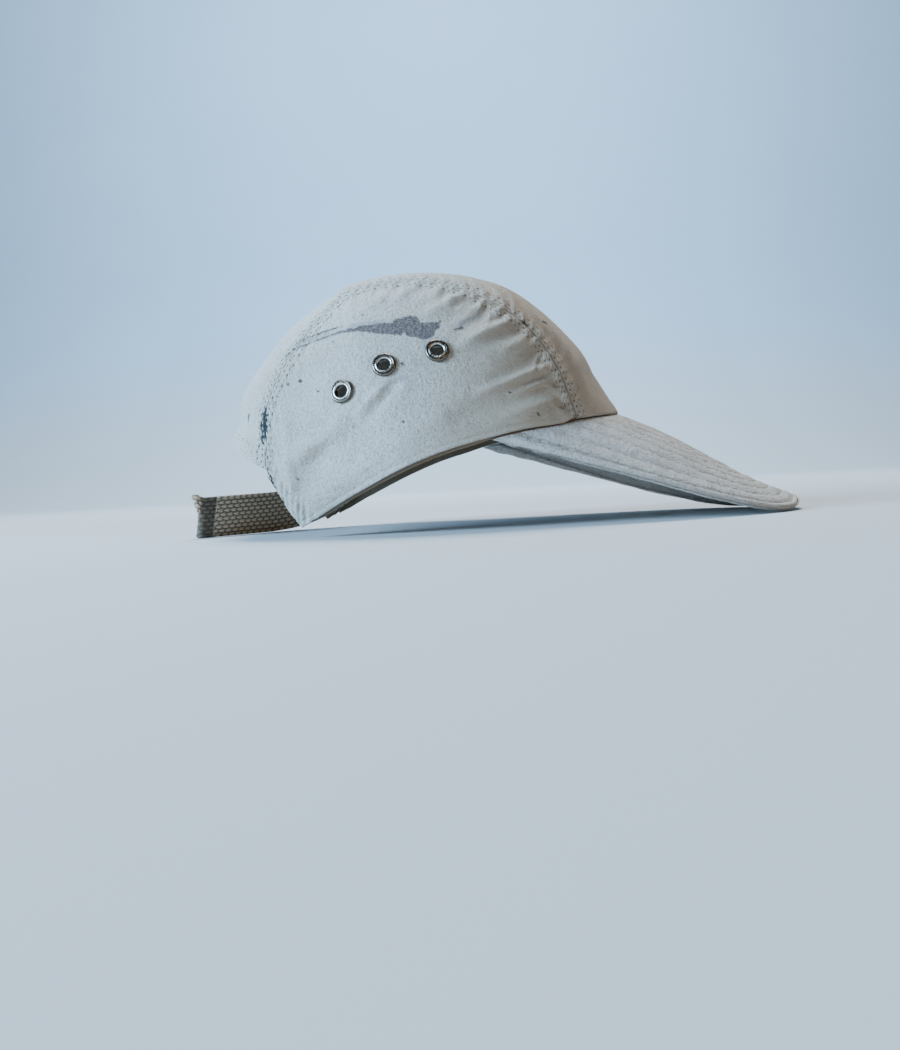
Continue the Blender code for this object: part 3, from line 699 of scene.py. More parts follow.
@dataclass(frozen=True)
class CanvasFinish:
    """Washed natural canvas with lint, needle holes and, on the crown, old paint; shade is painted into its
    seams, weave gaps, needle holes, bill groove and rim, and the crown's front and inside.
    """

    name: str
    effects: Effects
    pale: Tint = (0.745, 0.715, 0.655, 1.0)
    tan: Tint = (0.640, 0.595, 0.520, 1.0)
    pitch: float = 0.00062
    needle_pitch: float = 0.0030
    rows: tuple[float, ...] = (0.0024, 0.0060)
    painted: bool = False
    quilted: bool = False
    first_row: float = 0.0030
    # Painted shade for the seam lines, the bill's stitch groove and the bill's rim.
    shade_tint: Tint = (0.34, 0.28, 0.21, 1.0)
    lint_tint: Tint = (0.37, 0.33, 0.28, 1.0)
    dust_tint: Tint = (0.36, 0.33, 0.29, 1.0)
    # Painted shade in the gaps between the threads of the weave.
    weave_gap_shade: Tint = (0.42, 0.39, 0.33, 1.0)
    # Painted shade: the crown turns browner and darker towards its front.
    front_shade_tint: Tint = (0.520, 0.405, 0.280, 1.0)
    # Painted shade inside the crown, over some real soiling, so the eyelet holes look dark.
    inner_soil_and_shade: Tint = (0.250, 0.205, 0.155, 1.0)
    # Painted shade in the needle holes.
    needle_hole_shade: Tint = (0.07, 0.065, 0.06, 1.0)
    drop_tint: Tint = (0.10, 0.11, 0.13, 1.0)

    def strokes(self) -> dict[Paint, list[tuple[float, ...]]]:
        """Paint strokes in millimetres: two ends, two radii, and 1 for a mark seen from behind too."""
        return {
            Paint.VIOLET: [
                (-65.0, -46.0, 92.6, -61.0, -48.0, 95.6, 0.45, 0.40, 0.0),
                (-61.6, -46.0, 95.3, -48.0, -52.0, 98.8, 0.40, 0.45, 0.0),
                (-48.0, -52.0, 98.8, -36.2, -58.0, 101.5, 0.45, 0.55, 0.0),
                (-59.3, -47.0, 99.2, -44.2, -52.0, 103.0, 0.35, 0.55, 0.0),
                (-44.2, -52.0, 103.0, -35.2, -55.0, 104.4, 0.70, 0.35, 0.0),
                (-36.2, -58.0, 101.5, -25.8, -62.0, 102.1, 0.55, 1.30, 0.0),
                (-25.8, -62.0, 102.1, -16.9, -64.0, 101.4, 1.40, 2.50, 0.0),
                (-16.9, -64.0, 101.4, -6.1, -65.0, 100.9, 2.60, 3.50, 0.0),
                (-6.1, -63.0, 102.6, -0.2, -63.0, 102.9, 4.00, 4.30, 0.0),
                (-0.2, -65.0, 100.4, 6.6, -65.0, 98.8, 4.30, 4.30, 0.0),
                (6.6, -65.0, 99.4, 11.6, -64.0, 101.4, 3.90, 2.10, 0.0),
                (11.6, -63.0, 102.0, 13.8, -63.0, 103.6, 1.60, 0.50, 0.0),
                (20.5, -64.0, 99.0, 25.0, -64.0, 99.8, 0.35, 0.60, 0.0),
            ],
            Paint.PALE: [
                (-57.5, -48.0, 97.4, -43.0, -53.0, 101.4, 1.30, 1.50, 0.0),
                (-31.0, -58.0, 103.6, -14.0, -62.0, 105.0, 1.20, 1.60, 0.0),
                (-10.5, -75.0, 74.4, -4.0, -75.0, 76.0, 1.20, 1.60, 0.0),
                (24.0, -64.0, 102.6, 33.0, -60.0, 106.0, 1.40, 0.70, 0.0),
            ],
            Paint.TEAL: [
                (-76.6, -52.0, 67.5, -76.6, -54.0, 57.5, 0.25, 2.20, 1.0),
                (-76.6, -54.0, 57.5, -78.3, -53.5, 48.5, 2.20, 0.50, 1.0),
                (-76.6, -55.6, 34.0, -73.6, -56.0, 26.6, 1.20, 1.00, 1.0),
                (-70.6, -56.1, 20.6, -69.6, -56.1, 18.6, 0.90, 0.80, 1.0),
                (-64.8, -56.2, 10.6, -64.0, -56.2, 9.4, 0.75, 0.65, 1.0),
                (-87.2, -41.5, 63.9, -86.8, -41.5, 61.0, 0.85, 0.70, 1.0),
                (-84.0, -46.0, 46.5, -83.6, -46.4, 45.8, 0.50, 0.40, 1.0),
            ],
            Paint.DARK: [
                (-63.9, -56.0, 77.5, -63.7, -56.0, 77.5, 0.50, 0.50, 0.0),
                (-57.4, -59.5, 78.5, -57.0, -59.5, 78.2, 0.75, 0.70, 0.0),
                (-48.0, -66.0, 72.4, -47.8, -66.0, 72.3, 0.65, 0.60, 0.0),
                (-39.9, -59.0, 96.8, -39.7, -59.0, 96.7, 0.45, 0.45, 0.0),
                (-5.9, -73.0, 82.9, -5.3, -73.0, 82.6, 0.75, 0.60, 0.0),
                (55.8, -50.0, 102.6, 57.6, -50.0, 100.8, 0.75, 0.60, 0.0),
                (66.6, -38.0, 104.0, 68.4, -38.0, 102.8, 0.60, 0.50, 0.0),
                (-32.9, -72.0, 66.9, -31.9, -72.0, 65.7, 0.20, 0.20, 0.0),
                (-6.4, -77.0, 54.5, -6.2, -77.0, 54.3, 0.45, 0.40, 0.0),
                (-37.6, -70.0, 24.4, -37.2, -70.0, 24.2, 0.45, 0.40, 0.0),
                (-60.2, -62.0, 29.5, -60.0, -62.0, 29.2, 0.55, 0.45, 0.0),
                (-24.4, -62.0, 109.5, -24.2, -62.0, 109.2, 0.40, 0.30, 0.0),
                (59.0, -68.5, 55.6, 60.0, -68.5, 54.6, 0.45, 0.30, 0.0),
                (45.6, -71.0, 66.4, 46.4, -71.0, 66.2, 0.50, 0.40, 0.0),
            ],
        }

    def paint_mask(self, bench: Bench, point: Any, kind: Paint) -> Socket:
        """Mask of one kind of paint, with an edge that noise makes ragged.

        Args:
            bench: the material's bench.
            point: object coordinates.
            kind: the kind of paint.

        Returns:
            A mask from 0 to 1.
        """
        nearest: Any = None
        for x0, y0, z0, x1, y1, z1, first, last, behind in self.strokes()[kind]:
            shift = FORWARD_SHIFT * 1000.0
            node = bench.group(
                self.effects.stroke,
                {
                    "Point": point,
                    "Start": ((x0 + shift) / 1000.0, y0 / 1000.0, z0 / 1000.0),
                    "End": ((x1 + shift) / 1000.0, y1 / 1000.0, z1 / 1000.0),
                    "Flatten": (0.3, 1.0, 1.0) if behind else (1.0, 0.08, 1.0),
                    "First": first / 1000.0,
                    "Last": last / 1000.0,
                },
            )
            distance = node.outputs[0]
            nearest = distance if nearest is None else bench.math("MINIMUM", nearest, distance)
        ragged = bench.times(bench.math("SUBTRACT", bench.noise(point, 420.0, 4.0, 0.7), 0.5), 0.0030)
        return bench.ramp(bench.total(nearest, ragged), 0.00035, -0.00035)

    def build(self) -> bpy.types.Material:
        """Builds the material.

        Returns:
            The material.
        """
        material, bench, shader, point = new_material(self.name)
        cloth = bench.cloth()
        run, distance = bench.parts(cloth)[:2]
        age = bench.group(self.effects.age, {"Point": point}).outputs
        weave = bench.group(self.effects.weave, {"Cloth": cloth, "Pitch": self.pitch}).outputs[0]
        colour = bench.mix(age["Tone"], self.tan, self.pale)
        speck = bench.times(bench.ramp(age["Lint"], 0.56, 0.32), 0.72)
        colour = bench.mix(speck, colour, self.lint_tint)
        colour = bench.mix(bench.times(age["Dust"], 0.30), colour, self.dust_tint)
        # Painted shade: the gaps of the weave are darkened.
        gaps = bench.times(bench.ramp(weave, 0.34, 0.05), 0.30)
        colour = bench.mix(gaps, colour, self.weave_gap_shade)
        holes: Any = 0.0
        for row in self.rows:
            node = bench.group(
                self.effects.needles,
                {"Run": run, "Distance": distance, "Row": row, "Pitch": self.needle_pitch},
            )
            holes = bench.math("MAXIMUM", holes, node.outputs[0])
        forward = bench.parts(point)[0]
        if self.quilted:
            # Painted shade on the bill: a dark line along the first stitch row's groove and a darker rolled
            # rim.
            off_row = bench.math("ABSOLUTE", bench.math("SUBTRACT", distance, self.first_row))
            rim = bench.ramp(distance, -0.0004, -0.0010)
            painted_shade = bench.math("MAXIMUM", bench.ramp(off_row, 0.0010, 0.0002), rim)
        else:
            # Painted shadow along the seam lines, stronger towards the front.
            painted_shade = bench.ramp(bench.math("ABSOLUTE", distance), 0.0012, 0.0002)
            painted_shade = bench.times(painted_shade, bench.ramp(forward, -0.02, 0.02, 0.25, 1.0))
            # Painted shade: browner and darker towards the crown's front.
            warm = bench.times(bench.ramp(forward, -0.045, 0.020), 0.78)
            colour = bench.mix(warm, colour, self.front_shade_tint)
            # The inner face, known by its added distance, takes painted shade over some real soiling.
            inner = bench.times(bench.ramp(distance, 0.6, 0.7), 0.9)
            colour = bench.mix(inner, colour, self.inner_soil_and_shade)
        # Mixes in the painted shade of the seams, groove and rim.
        colour = bench.mix(bench.times(painted_shade, 0.65), colour, self.shade_tint)
        # Painted shade in the needle holes.
        colour = bench.mix(bench.times(holes, 0.85), colour, self.needle_hole_shade)
        if self.painted:
            speckle = bench.ramp(bench.noise(point, 1200.0, 3.0, 0.8), 0.36, 0.54)
            for kind, tint, cover, least in (
                (Paint.PALE, (0.33, 0.33, 0.36, 1.0), 0.55, 0.55),
                (Paint.VIOLET, (0.108, 0.082, 0.086, 1.0), 0.97, 0.58),
                (Paint.TEAL, (0.020, 0.034, 0.038, 1.0), 0.97, 0.84),
                (Paint.DARK, (0.030, 0.033, 0.040, 1.0), 0.96, 0.55),
            ):
                thick = bench.times(speckle, cover * (1.0 - least))
                worn = bench.total(thick, cover * least)
                mask = bench.times(self.paint_mask(bench, point, kind), worn)
                colour = bench.mix(mask, colour, tint)
        dots = {"Vector": point, "Scale": 85.0, "Randomness": 1.0}
        drops = bench.add("ShaderNodeTexVoronoi", dots, feature="F1").outputs["Distance"]
        sparse = bench.ramp(bench.noise(point, 30.0, 2.0), 0.52, 0.60)
        drops = bench.times(bench.ramp(drops, 0.055, 0.035), sparse)
        colour = bench.mix(bench.times(drops, 0.75), colour, self.drop_tint)
        bench.feed(shader.inputs["Base Color"], colour)
        shader.inputs["Roughness"].default_value = 0.92
        shader.inputs["Specular IOR Level"].default_value = 0.2
        shader.inputs["Sheen Weight"].default_value = 0.12
        lint = bench.times(age["Lint"], 0.95)
        grain = bench.times(bench.noise(point, 420.0, 4.0, 0.7), 1.05)
        height = bench.total(bench.times(weave, 0.12), lint, grain, bench.times(holes, -0.40))
        bench.bump(shader, height, 1.0, 0.0013)
        return material


@dataclass(frozen=True)
class TapeFinish:
    """Woven tape: webbing or band twill, with painted shade between its ribs and over the folded hem where it
    has one.
    """

    name: str
    effects: Effects
    light: Tint
    # deep is the painted shade between the ribs; the same colour also carries the tone and lint variation.
    deep: Tint
    pitch: float = 0.0009
    rib: float = 0.0
    bundle: float = 0.0
    # The hem's run, and the painted shade laid over the folded hem.
    hem: tuple[float, float] | None = None
    painted_shade: Tint = (0.080, 0.066, 0.052, 1.0)

    def build(self) -> bpy.types.Material:
        """Builds the material.

        Returns:
            The material.
        """
        material, bench, shader, point = new_material(self.name)
        cloth = bench.cloth()
        age = bench.group(self.effects.age, {"Point": point}).outputs
        weave = bench.group(self.effects.weave, {"Cloth": cloth, "Pitch": self.pitch}).outputs[0]
        if self.rib:
            pattern = {"Cloth": cloth, "Rib": self.rib, "Bundle": self.bundle}
            ribs = bench.group(self.effects.chevrons, pattern).outputs[0]
            weave = bench.total(bench.times(ribs, 0.85), bench.times(weave, 0.15))
        # Painted shade: the gaps between ribs take the deep colour.
        colour = bench.mix(bench.ramp(weave, 0.25, 0.80), self.deep, self.light)
        colour = bench.mix(bench.times(age["Tone"], 0.20), colour, self.deep)
        colour = bench.mix(bench.times(bench.ramp(age["Lint"], 0.40, 0.30), 0.5), colour, self.deep)
        # Painted shade over the folded hem.
        if self.hem:
            start, end = self.hem
            run = bench.parts(cloth)[0]
            inside = bench.times(bench.ramp(run, start, start + 0.0012), bench.ramp(run, end, end - 0.0016))
            colour = bench.mix(bench.times(inside, 0.80), colour, self.painted_shade)
        bench.feed(shader.inputs["Base Color"], colour)
        shader.inputs["Roughness"].default_value = 0.9
        shader.inputs["Specular IOR Level"].default_value = 0.2
        height = bench.total(bench.times(weave, 0.45), bench.times(age["Lint"], 0.35))
        bench.bump(shader, height, 0.9, 0.0004)
        return material


@dataclass(frozen=True)
class ThreadFinish:
    """Cotton sewing thread: two twisted plies along the stitch."""

    name: str
    effects: Effects
    half_length: float = 0.00120
    twist: tuple[float, float] = (6500.0, 5200.0)
    tint: Tint = (0.66, 0.62, 0.54, 1.0)
    # Painted shade in the hollows between the two plies.
    hollow: Tint = (0.36, 0.33, 0.28, 1.0)
    dust: Tint = (0.25, 0.24, 0.22, 1.0)
    # Painted shade where each stitch dives into the cloth.
    end_shade: Tint = (0.045, 0.040, 0.036, 1.0)

    def build(self) -> bpy.types.Material:
        """Builds the material.

        Returns:
            The material.
        """
        material, bench, shader, point = new_material(self.name)
        run, across = bench.parts(bench.cloth())[:2]
        turns = bench.total(bench.times(run, self.twist[0]), bench.times(across, self.twist[1]))
        ply = bench.math("ABSOLUTE", bench.math("SINE", turns))
        age = bench.group(self.effects.age, {"Point": point}).outputs
        # Painted shade: the hollows between the plies are darker.
        colour = bench.mix(bench.ramp(ply, 0.45, 0.05), self.tint, self.hollow)
        colour = bench.mix(bench.times(age["Dust"], 0.5), colour, self.dust)
        # Painted shade at both ends of each stitch, where it dives into the cloth.
        share = bench.math("ABSOLUTE", run)
        ends = bench.ramp(share, self.half_length - 0.00045, self.half_length - 0.00030)
        colour = bench.mix(bench.times(ends, 0.9), colour, self.end_shade)
        bench.feed(shader.inputs["Base Color"], colour)
        shader.inputs["Roughness"].default_value = 0.8
        bench.bump(shader, ply, 0.8, 0.00012)
        return material


@dataclass(frozen=True)
class NickelFinish:
    """Nickel plate gone bronze: bright where it is rubbed, brown in its hollows, with fine scratches."""

    name: str
    bright: Tint = (0.80, 0.78, 0.73, 1.0)
    bronze: Tint = (0.115, 0.085, 0.055, 1.0)

    def build(self) -> bpy.types.Material:
        """Builds the material.

        Returns:
            The material.
        """
        material, bench, shader, point = new_material(self.name)
        band = bench.parts(bench.cloth())[0]
        patch = bench.times(bench.ramp(bench.noise(point, 260.0, 4.0, 0.65), 0.45, 0.70), 0.55)
        tarnish = bench.math("MAXIMUM", band, patch)
        stretched = bench.vector("MULTIPLY", point, (900.0, 900.0, 6000.0))
        scratch = bench.ramp(bench.noise(stretched, 1.0, 2.0), 0.62, 0.74)
        colour = bench.mix(tarnish, self.bright, self.bronze)
        colour = bench.mix(bench.times(scratch, 0.12), colour, self.bright)
        bench.feed(shader.inputs["Base Color"], colour)
        shader.inputs["Metallic"].default_value = 1.0
        rough = bench.ramp(bench.noise(point, 900.0, 3.0), 0.25, 0.80, 0.20, 0.42)
        bench.feed(shader.inputs["Roughness"], rough)
        bench.bump(shader, scratch, 0.25, 0.00006)
        return material


@dataclass
class Crown:
    """The centre strip and the two side panels, with seams, puckers, folds and top stitching."""

    form: CrownForm
    finisher: Finisher
    canvas: bpy.types.Material
    thread: bpy.types.Material
    rows: int = 250
    columns: int = 116
    seam_rows: tuple[float, float] = (0.0024, 0.0060)
    arch_rows: tuple[float, float] = (0.0026, 0.0085)
    stitch: StitchSize = (0.0024, 0.00028, 0.00030)
    stitch_pitch: float = 0.0030
    eyelet_spots: tuple[tuple[float, float], ...] = ((-0.261, 0.516), (-0.108, 0.600), (0.083, 0.640))
    eyelet_hole: float = 0.0041
    # A dent this deep still stays in front of the sweatband.
    deepest: float = 0.0017
    eyelet_places: dict[Side, list[tuple[np.ndarray, np.ndarray]]] = field(default_factory=dict)
    # Height and size of each kind of wave in the cloth's body.
    body_waves: tuple[tuple[float, float], ...] = ((0.00055, 0.034), (0.00020, 0.012), (0.00007, 0.0048))
    fold_gain: float = 1.55
    pucker: tuple[float, float] = (0.00036, 0.0056)
    gather: tuple[float, float] = (0.00062, 0.0108)
    hem_wave: tuple[float, float] = (0.00036, 0.0050)
    allowance: tuple[float, float] = (0.00036, 0.0069)
    turned_hem: tuple[float, float] = (0.00038, 0.0098)
    groove: tuple[float, float] = (0.00034, 0.00055)
    folds: np.ndarray = field(
        default_factory=lambda: np.array(
            [
                # x, z, x, z in mm, width, rise
                (8.0, 108.5, 22.0, 116.5, 2.6, 0.75),
                (16.0, 104.0, 30.0, 111.0, 2.0, -0.45),
                (24.0, 99.8, 38.0, 107.0, 2.4, -0.75),
                (25.0, 92.2, 46.5, 103.0, 2.4, 1.05),
                (34.0, 91.5, 52.0, 98.5, 2.6, -0.55),
                (44.0, 88.0, 56.0, 95.0, 2.6, 0.65),
                (42.0, 73.5, 65.5, 87.0, 4.4, -0.95),
                (36.0, 68.6, 67.0, 80.6, 2.1, 1.30),
                (48.0, 68.8, 66.0, 74.8, 1.5, -0.45),
                (49.0, 66.2, 69.0, 73.4, 1.9, 0.85),
                (24.5, 57.4, 68.0, 67.6, 5.0, -0.95),
                (46.0, 57.0, 75.0, 64.4, 3.2, 0.85),
                (-8.0, 117.0, 4.0, 124.0, 2.4, 0.45),
                (-24.0, 113.0, -10.0, 120.5, 2.6, 0.40),
                (-14.0, 73.5, -27.5, 60.0, 1.9, 1.25),
                (-9.0, 72.0, -22.5, 57.5, 3.0, -0.95),
                (-15.0, 64.5, -2.0, 74.0, 2.0, 0.55),
                (-24.0, 58.0, -6.0, 65.0, 2.2, 0.40),
                (-64.0, 38.8, -37.0, 53.6, 4.2, 1.90),
                (-60.0, 23.0, -46.0, 42.0, 5.0, -1.90),
                (-63.0, 62.0, -53.0, 83.0, 8.0, -1.10),
                (-40.0, 55.0, -28.0, 66.0, 3.4, 0.60),
                (-65.2, 56.0, -62.8, 12.0, 2.6, 0.60),
                (-46.0, 20.0, -20.0, 38.0, 5.0, 0.60),
                (-10.0, 45.0, 22.0, 62.0, 6.0, 0.45),
            ]
        )
        * 1e-3
    )

    def broad_lift(self, points: np.ndarray, seed: float) -> np.ndarray:
        """Uneven body of washed cloth: noise of three sizes."""
        lift = np.zeros(points.shape[:-1])
        for number, (height, size) in enumerate(self.body_waves):
            lift = lift + height * cloth_noise(points, size, seed + number)
        return lift

    def seam_lift(self, run: np.ndarray, away: np.ndarray, front: np.ndarray, seed: float) -> np.ndarray:
        """Lift beside a seam.

        A raised allowance, two needle grooves, short puckers between them and longer gathers that fade
        into the cloth: sines of the run along the seam, whose phase wanders with noise, times bells of
        the distance.

        Args:
            run: length run along the seam.
            away: distance from the seam.
            front: weight of the long gathers.
            seed: moves the pattern.

        Returns:
            The lift at each place.
        """
        wander = cloth_noise(np.stack([run, run * 0.0, away * 0.6], -1), 0.012, seed)
        slanted = run - 0.85 * away
        phase = math.tau * (run - 0.4 * away) / self.pucker[1] + 2.6 * wander
        short = np.sin(phase) * bump_at(away - 0.0045, 0.0042)
        phase = math.tau * slanted / self.gather[1] + 3.0 * wander
        long_ = np.sin(phase) * bump_at(away - 0.0100, 0.0100) * front
        lift = self.pucker[0] * short + self.gather[0] * long_
        lift = lift + self.allowance[0] * step_down(away, self.allowance[1], 0.00045)
        for row in self.seam_rows:
            lift = lift - self.groove[0] * bump_at(away - row, self.groove[1])
        return lift - 0.9 * rim_drop(away, 0.00085)

    def arch_lift(self, run: np.ndarray, away: np.ndarray, seed: float) -> np.ndarray:
        """Lift of the back arch's turned hem: a thicker band with two needle grooves and tight puckers."""
        wander = cloth_noise(np.stack([run, run * 0.0, away * 0.5], -1), 0.009, seed)
        lift = self.turned_hem[0] * step_down(away, self.turned_hem[1], 0.0005)
        phase = math.tau * run / self.hem_wave[1] + 3.0 * wander
        lift = lift + self.hem_wave[0] * np.sin(phase) * bump_at(away - 0.0070, 0.0052)
        for row in self.arch_rows:
            lift = lift - self.groove[0] * bump_at(away - row, self.groove[1])
        return lift

    def shell(
        self,
        name: str,
        top: np.ndarray,
        edge: np.ndarray,
        from_bill: np.ndarray,
        uv: np.ndarray,
        node: str,
        keep: np.ndarray | None,
    ) -> bpy.types.Object:
        """A crown piece from its outer face: the inner one lies a cloth thickness in, with round edges.

        Args:
            name: the piece's name.
            top: grid of the outer face.
            edge: distance from the nearest free edge.
            from_bill: distance from the edge on the bill, where the outer face comes down to it.
            uv: run and distance for the cloth.
            node: the node that it replaces.
            keep: which cells stay.

        Returns:
            The finished piece.
        """
        normal = self.form.normals(top)
        half = self.form.cloth / 2.0
        drop = rim_drop(edge, half)[..., None]
        outer = top - normal * drop
        outer[..., 2] -= self.form.cloth * np.maximum(normal[..., 2], 0.0) * bump_at(from_bill, 0.0030)
        inner = top - normal * (self.form.cloth - drop)
        piece = self.finisher.slab(name, outer, inner, uv, keep)
        self.finisher.hand_over(piece, self.canvas, "canvas", node)
        return piece

    def row_of_stitches(
        self, name: str, grid: np.ndarray, run: np.ndarray, away: np.ndarray, row: float
    ) -> tuple[np.ndarray, np.ndarray, np.ndarray]:
        """Places, directions and normals of stitches along a line of constant distance in a grid.

        Args:
            name: for the log.
            grid: outer face, whose second axis crosses the row.
            run: length run at each grid row.
            away: distance from the seam at each point.
            row: the row's distance.

        Returns:
            Centres, directions and normals.
        """
        normal = self.form.normals(grid)
        column = np.argmin(np.abs(away - row), axis=1)
        pick = np.arange(len(grid))
        ahead = np.clip(column + 1, 0, grid.shape[1] - 1)
        step = away[pick, ahead] - away[pick, column]
        safe = np.where(np.abs(step) > 1e-9, step, 1.0)
        part = np.clip((row - away[pick, column]) / safe, -1.0, 1.0)[:, None]
        line = grid[pick, column] + (grid[pick, ahead] - grid[pick, column]) * part
        reach = np.abs(away[pick, column] - row) < 0.0012
        wanted = np.arange(run[reach].min() + 0.002, run[reach].max() - 0.001, self.stitch_pitch)
        wanted = (np.floor(wanted / self.stitch_pitch) + 0.5) * self.stitch_pitch
        centre = np.stack([np.interp(wanted, run[reach], line[reach, k]) for k in range(3)], -1)
        up = np.stack([np.interp(wanted, run[reach], normal[pick, column][reach, k]) for k in range(3)], -1)
        up /= np.linalg.norm(up, axis=1, keepdims=True)
        along = np.gradient(centre, axis=0)
        LOG.info("%s: %d stitches", name, len(centre))
        return centre + up * 0.00004, along, up

    def build_panel(self, side: Side) -> list[tuple]:
        """Builds one side panel and finds where its eyelets and stitches sit.

        Args:
            side: the wearer's side.

        Returns:
            Stitch rows of the panel.
        """
        close = 1.0 - np.geomspace(2e-4, 3.4e-3, 6)
        along = np.sort(np.concatenate([np.linspace(0.003, 1.0, self.rows), close]))
        grid = self.form.panel_grid(side.value, along, gather_ends(self.columns))
        away = run_along(grid, 1)
        from_hem = away[:, -1:] - away
        run = np.broadcast_to(run_along(grid, 0)[:, :1], away.shape)
        back = run_along(grid, 0)
        from_arch = back[-1:] - back
        normal = self.form.normals(grid)
        strength = 1.0 if side is Side.RIGHT else 0.7
        seed = 3.0 if side is Side.RIGHT else 11.0
        front = np.clip((grid[..., 0] + 0.030) / 0.045, 0.25, 1.0) * strength
        calm = np.clip(from_hem / 0.009, 0.0, 1.0) * np.clip(from_arch / 0.006, 0.2, 1.0)
        lift = self.fold_gain * lift_by_folds(grid, self.folds) * strength * calm
        lift = lift * np.clip(away / 0.004, 0.0, 1.0)
        lift = lift + self.broad_lift(grid, seed) * calm * np.clip(away / 0.008, 0.0, 1.0)
        lift = lift + self.seam_lift(run, away, front, seed) * np.clip(from_hem / 0.004, 0.0, 1.0)
        lift = lift + self.arch_lift(away, from_arch, seed) * np.clip(away / 0.004, 0.0, 1.0)
        lift = lift - 0.00022 * bump_at(from_hem - 0.0028, 0.0008) * np.clip(away / 0.006, 0.0, 1.0)
        lift = np.where(lift < 0.0, self.deepest * np.tanh(lift / self.deepest), lift)
        top = grid + normal * lift[..., None]
        spots = []
        middle = (top[1:, 1:] + top[:-1, 1:] + top[1:, :-1] + top[:-1, :-1]) / 4.0
        keep = np.ones(middle.shape[:2], bool)
        for forward, height in self.eyelet_spots:
            off = np.hypot(grid[..., 0] - forward * self.form.rise, grid[..., 2] - height * self.form.rise)
            i, j = np.unravel_index(np.argmin(off), off.shape)
            around = bump_at(np.linalg.norm(top - top[i, j], axis=-1), 0.0052)[..., None]
            out = np.sum(normal * around**0.5, axis=(0, 1))
            out /= np.linalg.norm(out)
            level = np.sum((top - top[i, j]) * out, -1, keepdims=True)
            near = np.clip(1.6 - np.linalg.norm(top - top[i, j], axis=-1) / 0.0062, 0.0, 1.0)[..., None]
            top = top - out * (level + 0.00025) * near
            spots.append((grid[i, j] + out * float(lift[i, j]), out))
            keep &= np.linalg.norm(middle - spots[-1][0], axis=-1) > self.eyelet_hole
        self.eyelet_places[side] = spots
        word = side.name.lower()
        edge = np.minimum(from_hem, np.minimum(from_arch, away + 0.0004))
        uv = np.stack([run, away], -1)
        on_bill = from_hem + 0.02 * np.clip((self.form.rise * 0.27 - grid[..., 0]) / 0.01, 0.0, 1.0)
        self.shell(f"side_panel_{word}_cloth", top, edge, on_bill, uv, f"side_panel_{word}", keep)
        rows = [self.row_of_stitches(word, top, run[:, 0], away, row) for row in self.seam_rows]
        turned = top.transpose(1, 0, 2)
        rows += [
            self.row_of_stitches(word, turned, away[-8], np.ascontiguousarray(from_arch.T), row)
            for row in self.arch_rows
        ]
        return rows

    def build_strip(self) -> list[tuple]:
        """Builds the centre strip.

        Returns:
            Stitch rows of the strip.
        """
        along = gather_ends(self.rows, 0.5)
        across = gather_ends(self.columns + 24, 0.8) * 2.0 - 1.0
        grid = self.form.strip_grid(along, across)
        over = run_along(grid, 1)
        away = np.minimum(over, over[:, -1:] - over)
        back = run_along(grid, 0)
        run = np.broadcast_to(back[:, :1], away.shape)
        from_arch, from_bill = back[-1:] - back, back
        normal = self.form.normals(grid)
        angle = np.degrees(np.arctan2(grid[..., 2], grid[..., 0]))
        front = np.clip((100.0 - angle) / 40.0, 0.0, 0.8)
        lift = self.broad_lift(grid, 5.0) * np.clip(away / 0.008, 0.0, 1.0)
        lift = lift + self.seam_lift(run, away, front * 0.6, 8.0)
        lift = lift + self.arch_lift(over, from_arch, 9.0) * np.clip(away / 0.004, 0.0, 1.0)
        shoulder = bump_at(angle - 47.0, 13.0)
        lift = lift + 0.0009 * bump_at(away - 0.0165, 0.0045) * shoulder
        lift = lift - 0.0010 * bump_at(away - 0.0095, 0.0040) * shoulder
        lift = lift * np.clip(from_bill / 0.005, 0.0, 1.0) * np.clip(from_arch / 0.003, 0.4, 1.0)
        top = grid + normal * lift[..., None]
        edge = np.minimum(np.minimum(from_bill, from_arch), away + 0.0004)
        flat = np.stack([run, away], -1)
        self.shell("centre_strip_cloth", top, edge, from_bill, flat, "centre_strip", None)
        half = top.shape[1] // 2
        rows = []
        for row in self.seam_rows:
            rows.append(self.row_of_stitches("strip right", top[:, :half], run[:, 0], away[:, :half], row))
            rows.append(self.row_of_stitches("strip left", top[:, half:], run[:, -1], away[:, half:], row))
        turned = top.transpose(1, 0, 2)[:, ::-1]
        from_hem = np.ascontiguousarray(from_arch.T[:, ::-1])
        for row in self.arch_rows:
            rows.append(self.row_of_stitches("arch", turned, over[-8], from_hem, row))
        return rows

    def build(self) -> None:
        """Builds the crown and its top stitching."""
        rows = self.build_strip() + self.build_panel(Side.RIGHT) + self.build_panel(Side.LEFT)
        centre, along, up = (np.concatenate([row[k] for row in rows]) for k in range(3))
        piece = self.finisher.stitches("crown_stitching", centre, along, up, self.stitch)
        self.finisher.hand_over(piece, self.thread, "canvas")


